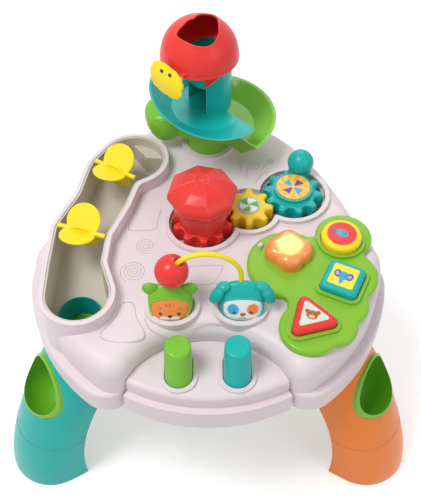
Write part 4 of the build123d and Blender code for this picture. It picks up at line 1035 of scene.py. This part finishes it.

# %% [markdown]
# ## The gate flap
#
# The yellow flap beside the hood is a thin plate with a waved outline, like a
# small cloud, and two little square slots. Its outline is drawn as a ring of
# waves on a rounded oblong, in the flap's own leaning plane. The slots are not
# cut through: each is a thin dark patch on the plate, painted shade standing in
# for the dark of the opening.

# %% Flap
flap_right = (0.788, -0.616, 0.0)
flap_up = (0.17, 0.217, 0.961)
flap_from = (-47.9, 79.6, 453.2)
flap_half = (25.0, 17.8)
flap_mid = (-3.0, -2.0)
wave_count = 13
wave_depth = 0.055
flap_skew = 0.16          # the far end hangs lower
flap_t = 3.0
flap_edge = 0.6          # slope of the plate's edge
slot_half = 2.3
slot_tall = 4.2


def flap_sheet(where):
    steps = wave_count * 8
    turns = [2 * math.pi * k / steps for k in range(steps)]
    levels = []
    for z, grow in ((-flap_t, -flap_edge), (-flap_t + flap_edge, 0.0), (-flap_edge, 0.0), (0.0, -flap_edge)):
        ring = []
        for a in turns:
            x, y = plate_edge(a, flap_half[0] + grow, flap_half[1] + grow, 2.8)
            swell = 1 + wave_depth * abs(math.sin(wave_count * a / 2)) - wave_depth / 2
            spot = Vector((flap_mid[0] + x * swell, flap_mid[1] + y * swell - flap_skew * x, z))
            ring.append(where @ (spot / 1000))
        levels.append(ring)
    return ring_stack(levels, capped=True)


flap_plane = plane(flap_from, flap_right, flap_up)
bm = flap_sheet(flap_plane)
place_piece("flap_plate", bm, finishes["yellow_plastic"], "gate_flap", ("gate_flap",), 50.0)
# The slots are thin dark patches of painted shade laid on the plate, not openings cut through it.
slot_shade_corners = []
for x in (-11.0, 1.5):
    low = 4.8
    slot_shade_corners.append([(x - slot_half, low), (x - slot_half, low + slot_tall),
                         (x + slot_half, low + slot_tall - 0.4), (x + slot_half, low - 0.4)])
tile("flap_slot_painted_shade", flap_plane, slot_shade_corners, 0.25, finishes["dark_plastic"], "gate_flap")

# %% [markdown]
# ## Dots on the keys
#
# Three small raised dots on each key give a child's finger something to feel.

# %% Key dots
for body, x in (("green_key", -33.5), ("teal_key", 33.5)):
    where = flat_plane((x, -209.5, top_of(body)), 0.0)
    spots = [(dot_x, dot_y, 1.3, 1.3, 0) for dot_x, dot_y in ((-5.0, 3.0), (0.5, 5.0), (5.5, 2.0))]
    slot = body.replace("key", "plastic")
    patch(f"{body}_dots", where, spots, 0.8, finishes[slot], body)

# %% [markdown]
# ## Floor, light and camera
#
# The picture is a plain studio shot: a pale floor, a broad soft light from
# the upper left, a weaker one from the right and an even sky. The floor looks
# white to the camera and to reflections, but lights the table no more than a
# pale floor would.

# %% Floor
def pale_floor():
    bm = bmesh.new()
    bmesh.ops.create_grid(bm, x_segments=2, y_segments=2, size=6.0)
    mesh = bpy.data.meshes.new("floor")
    bm.to_mesh(mesh)
    bm.free()
    floor = bpy.data.objects.new("floor", mesh)
    bpy.context.scene.collection.objects.link(floor)
    material, tree, shader = new_material("floor")
    shader.inputs["Base Color"].default_value = (0.86, 0.86, 0.86, 1.0)
    shader.inputs["Roughness"].default_value = 0.7
    shader.inputs["Emission Color"].default_value = (1.0, 1.0, 1.0, 1.0)
    tree.links.new(math_node(tree, "MULTIPLY", seen_share(tree), 0.35), shader.inputs["Emission Strength"])
    mesh.materials.append(material)
    return floor


pale_floor()


# %% Lamps and sky
def soft_lamp(name, place, aim, size, power):
    light = bpy.data.lights.new(name, "AREA")
    light.shape = "DISK"
    light.size = size
    light.energy = power
    lamp = bpy.data.objects.new(name, light)
    lamp.location = place
    lamp.rotation_euler = (Vector(aim) - Vector(place)).to_track_quat("-Z", "Y").to_euler()
    bpy.context.scene.collection.objects.link(lamp)


soft_lamp("key_light", (-0.9, -0.5, 2.3), (0.0, 0.0, 0.3), 0.9, 30.0)
soft_lamp("fill_light", (1.6, -1.2, 1.4), (0.0, 0.0, 0.25), 1.4, 6.0)
soft_lamp("back_light", (0.2, 1.8, 1.8), (0.0, 0.0, 0.3), 1.2, 10.0)

world = bpy.data.worlds.new("sky")
bpy.context.scene.world = world
world.use_nodes = True
sky = world.node_tree
background = sky.nodes["Background"]
background.inputs["Color"].default_value = (1.0, 1.0, 1.0, 1.0)
level = math_node(sky, "ADD", math_node(sky, "MULTIPLY", seen_share(sky), 0.5), 0.5)
sky.links.new(level, background.inputs["Strength"])
bpy.context.scene.view_settings.view_transform = "Standard"

# %% Camera
lens = bpy.data.cameras.new("camera")
lens.lens = 61.2
lens.sensor_width = 36.0
camera = bpy.data.objects.new("camera", lens)
camera.location = (0.003, -0.7195, 1.1161)
camera.rotation_euler = (math.radians(39.0), 0.0, 0.0)
bpy.context.scene.collection.objects.link(camera)
bpy.context.scene.camera = camera
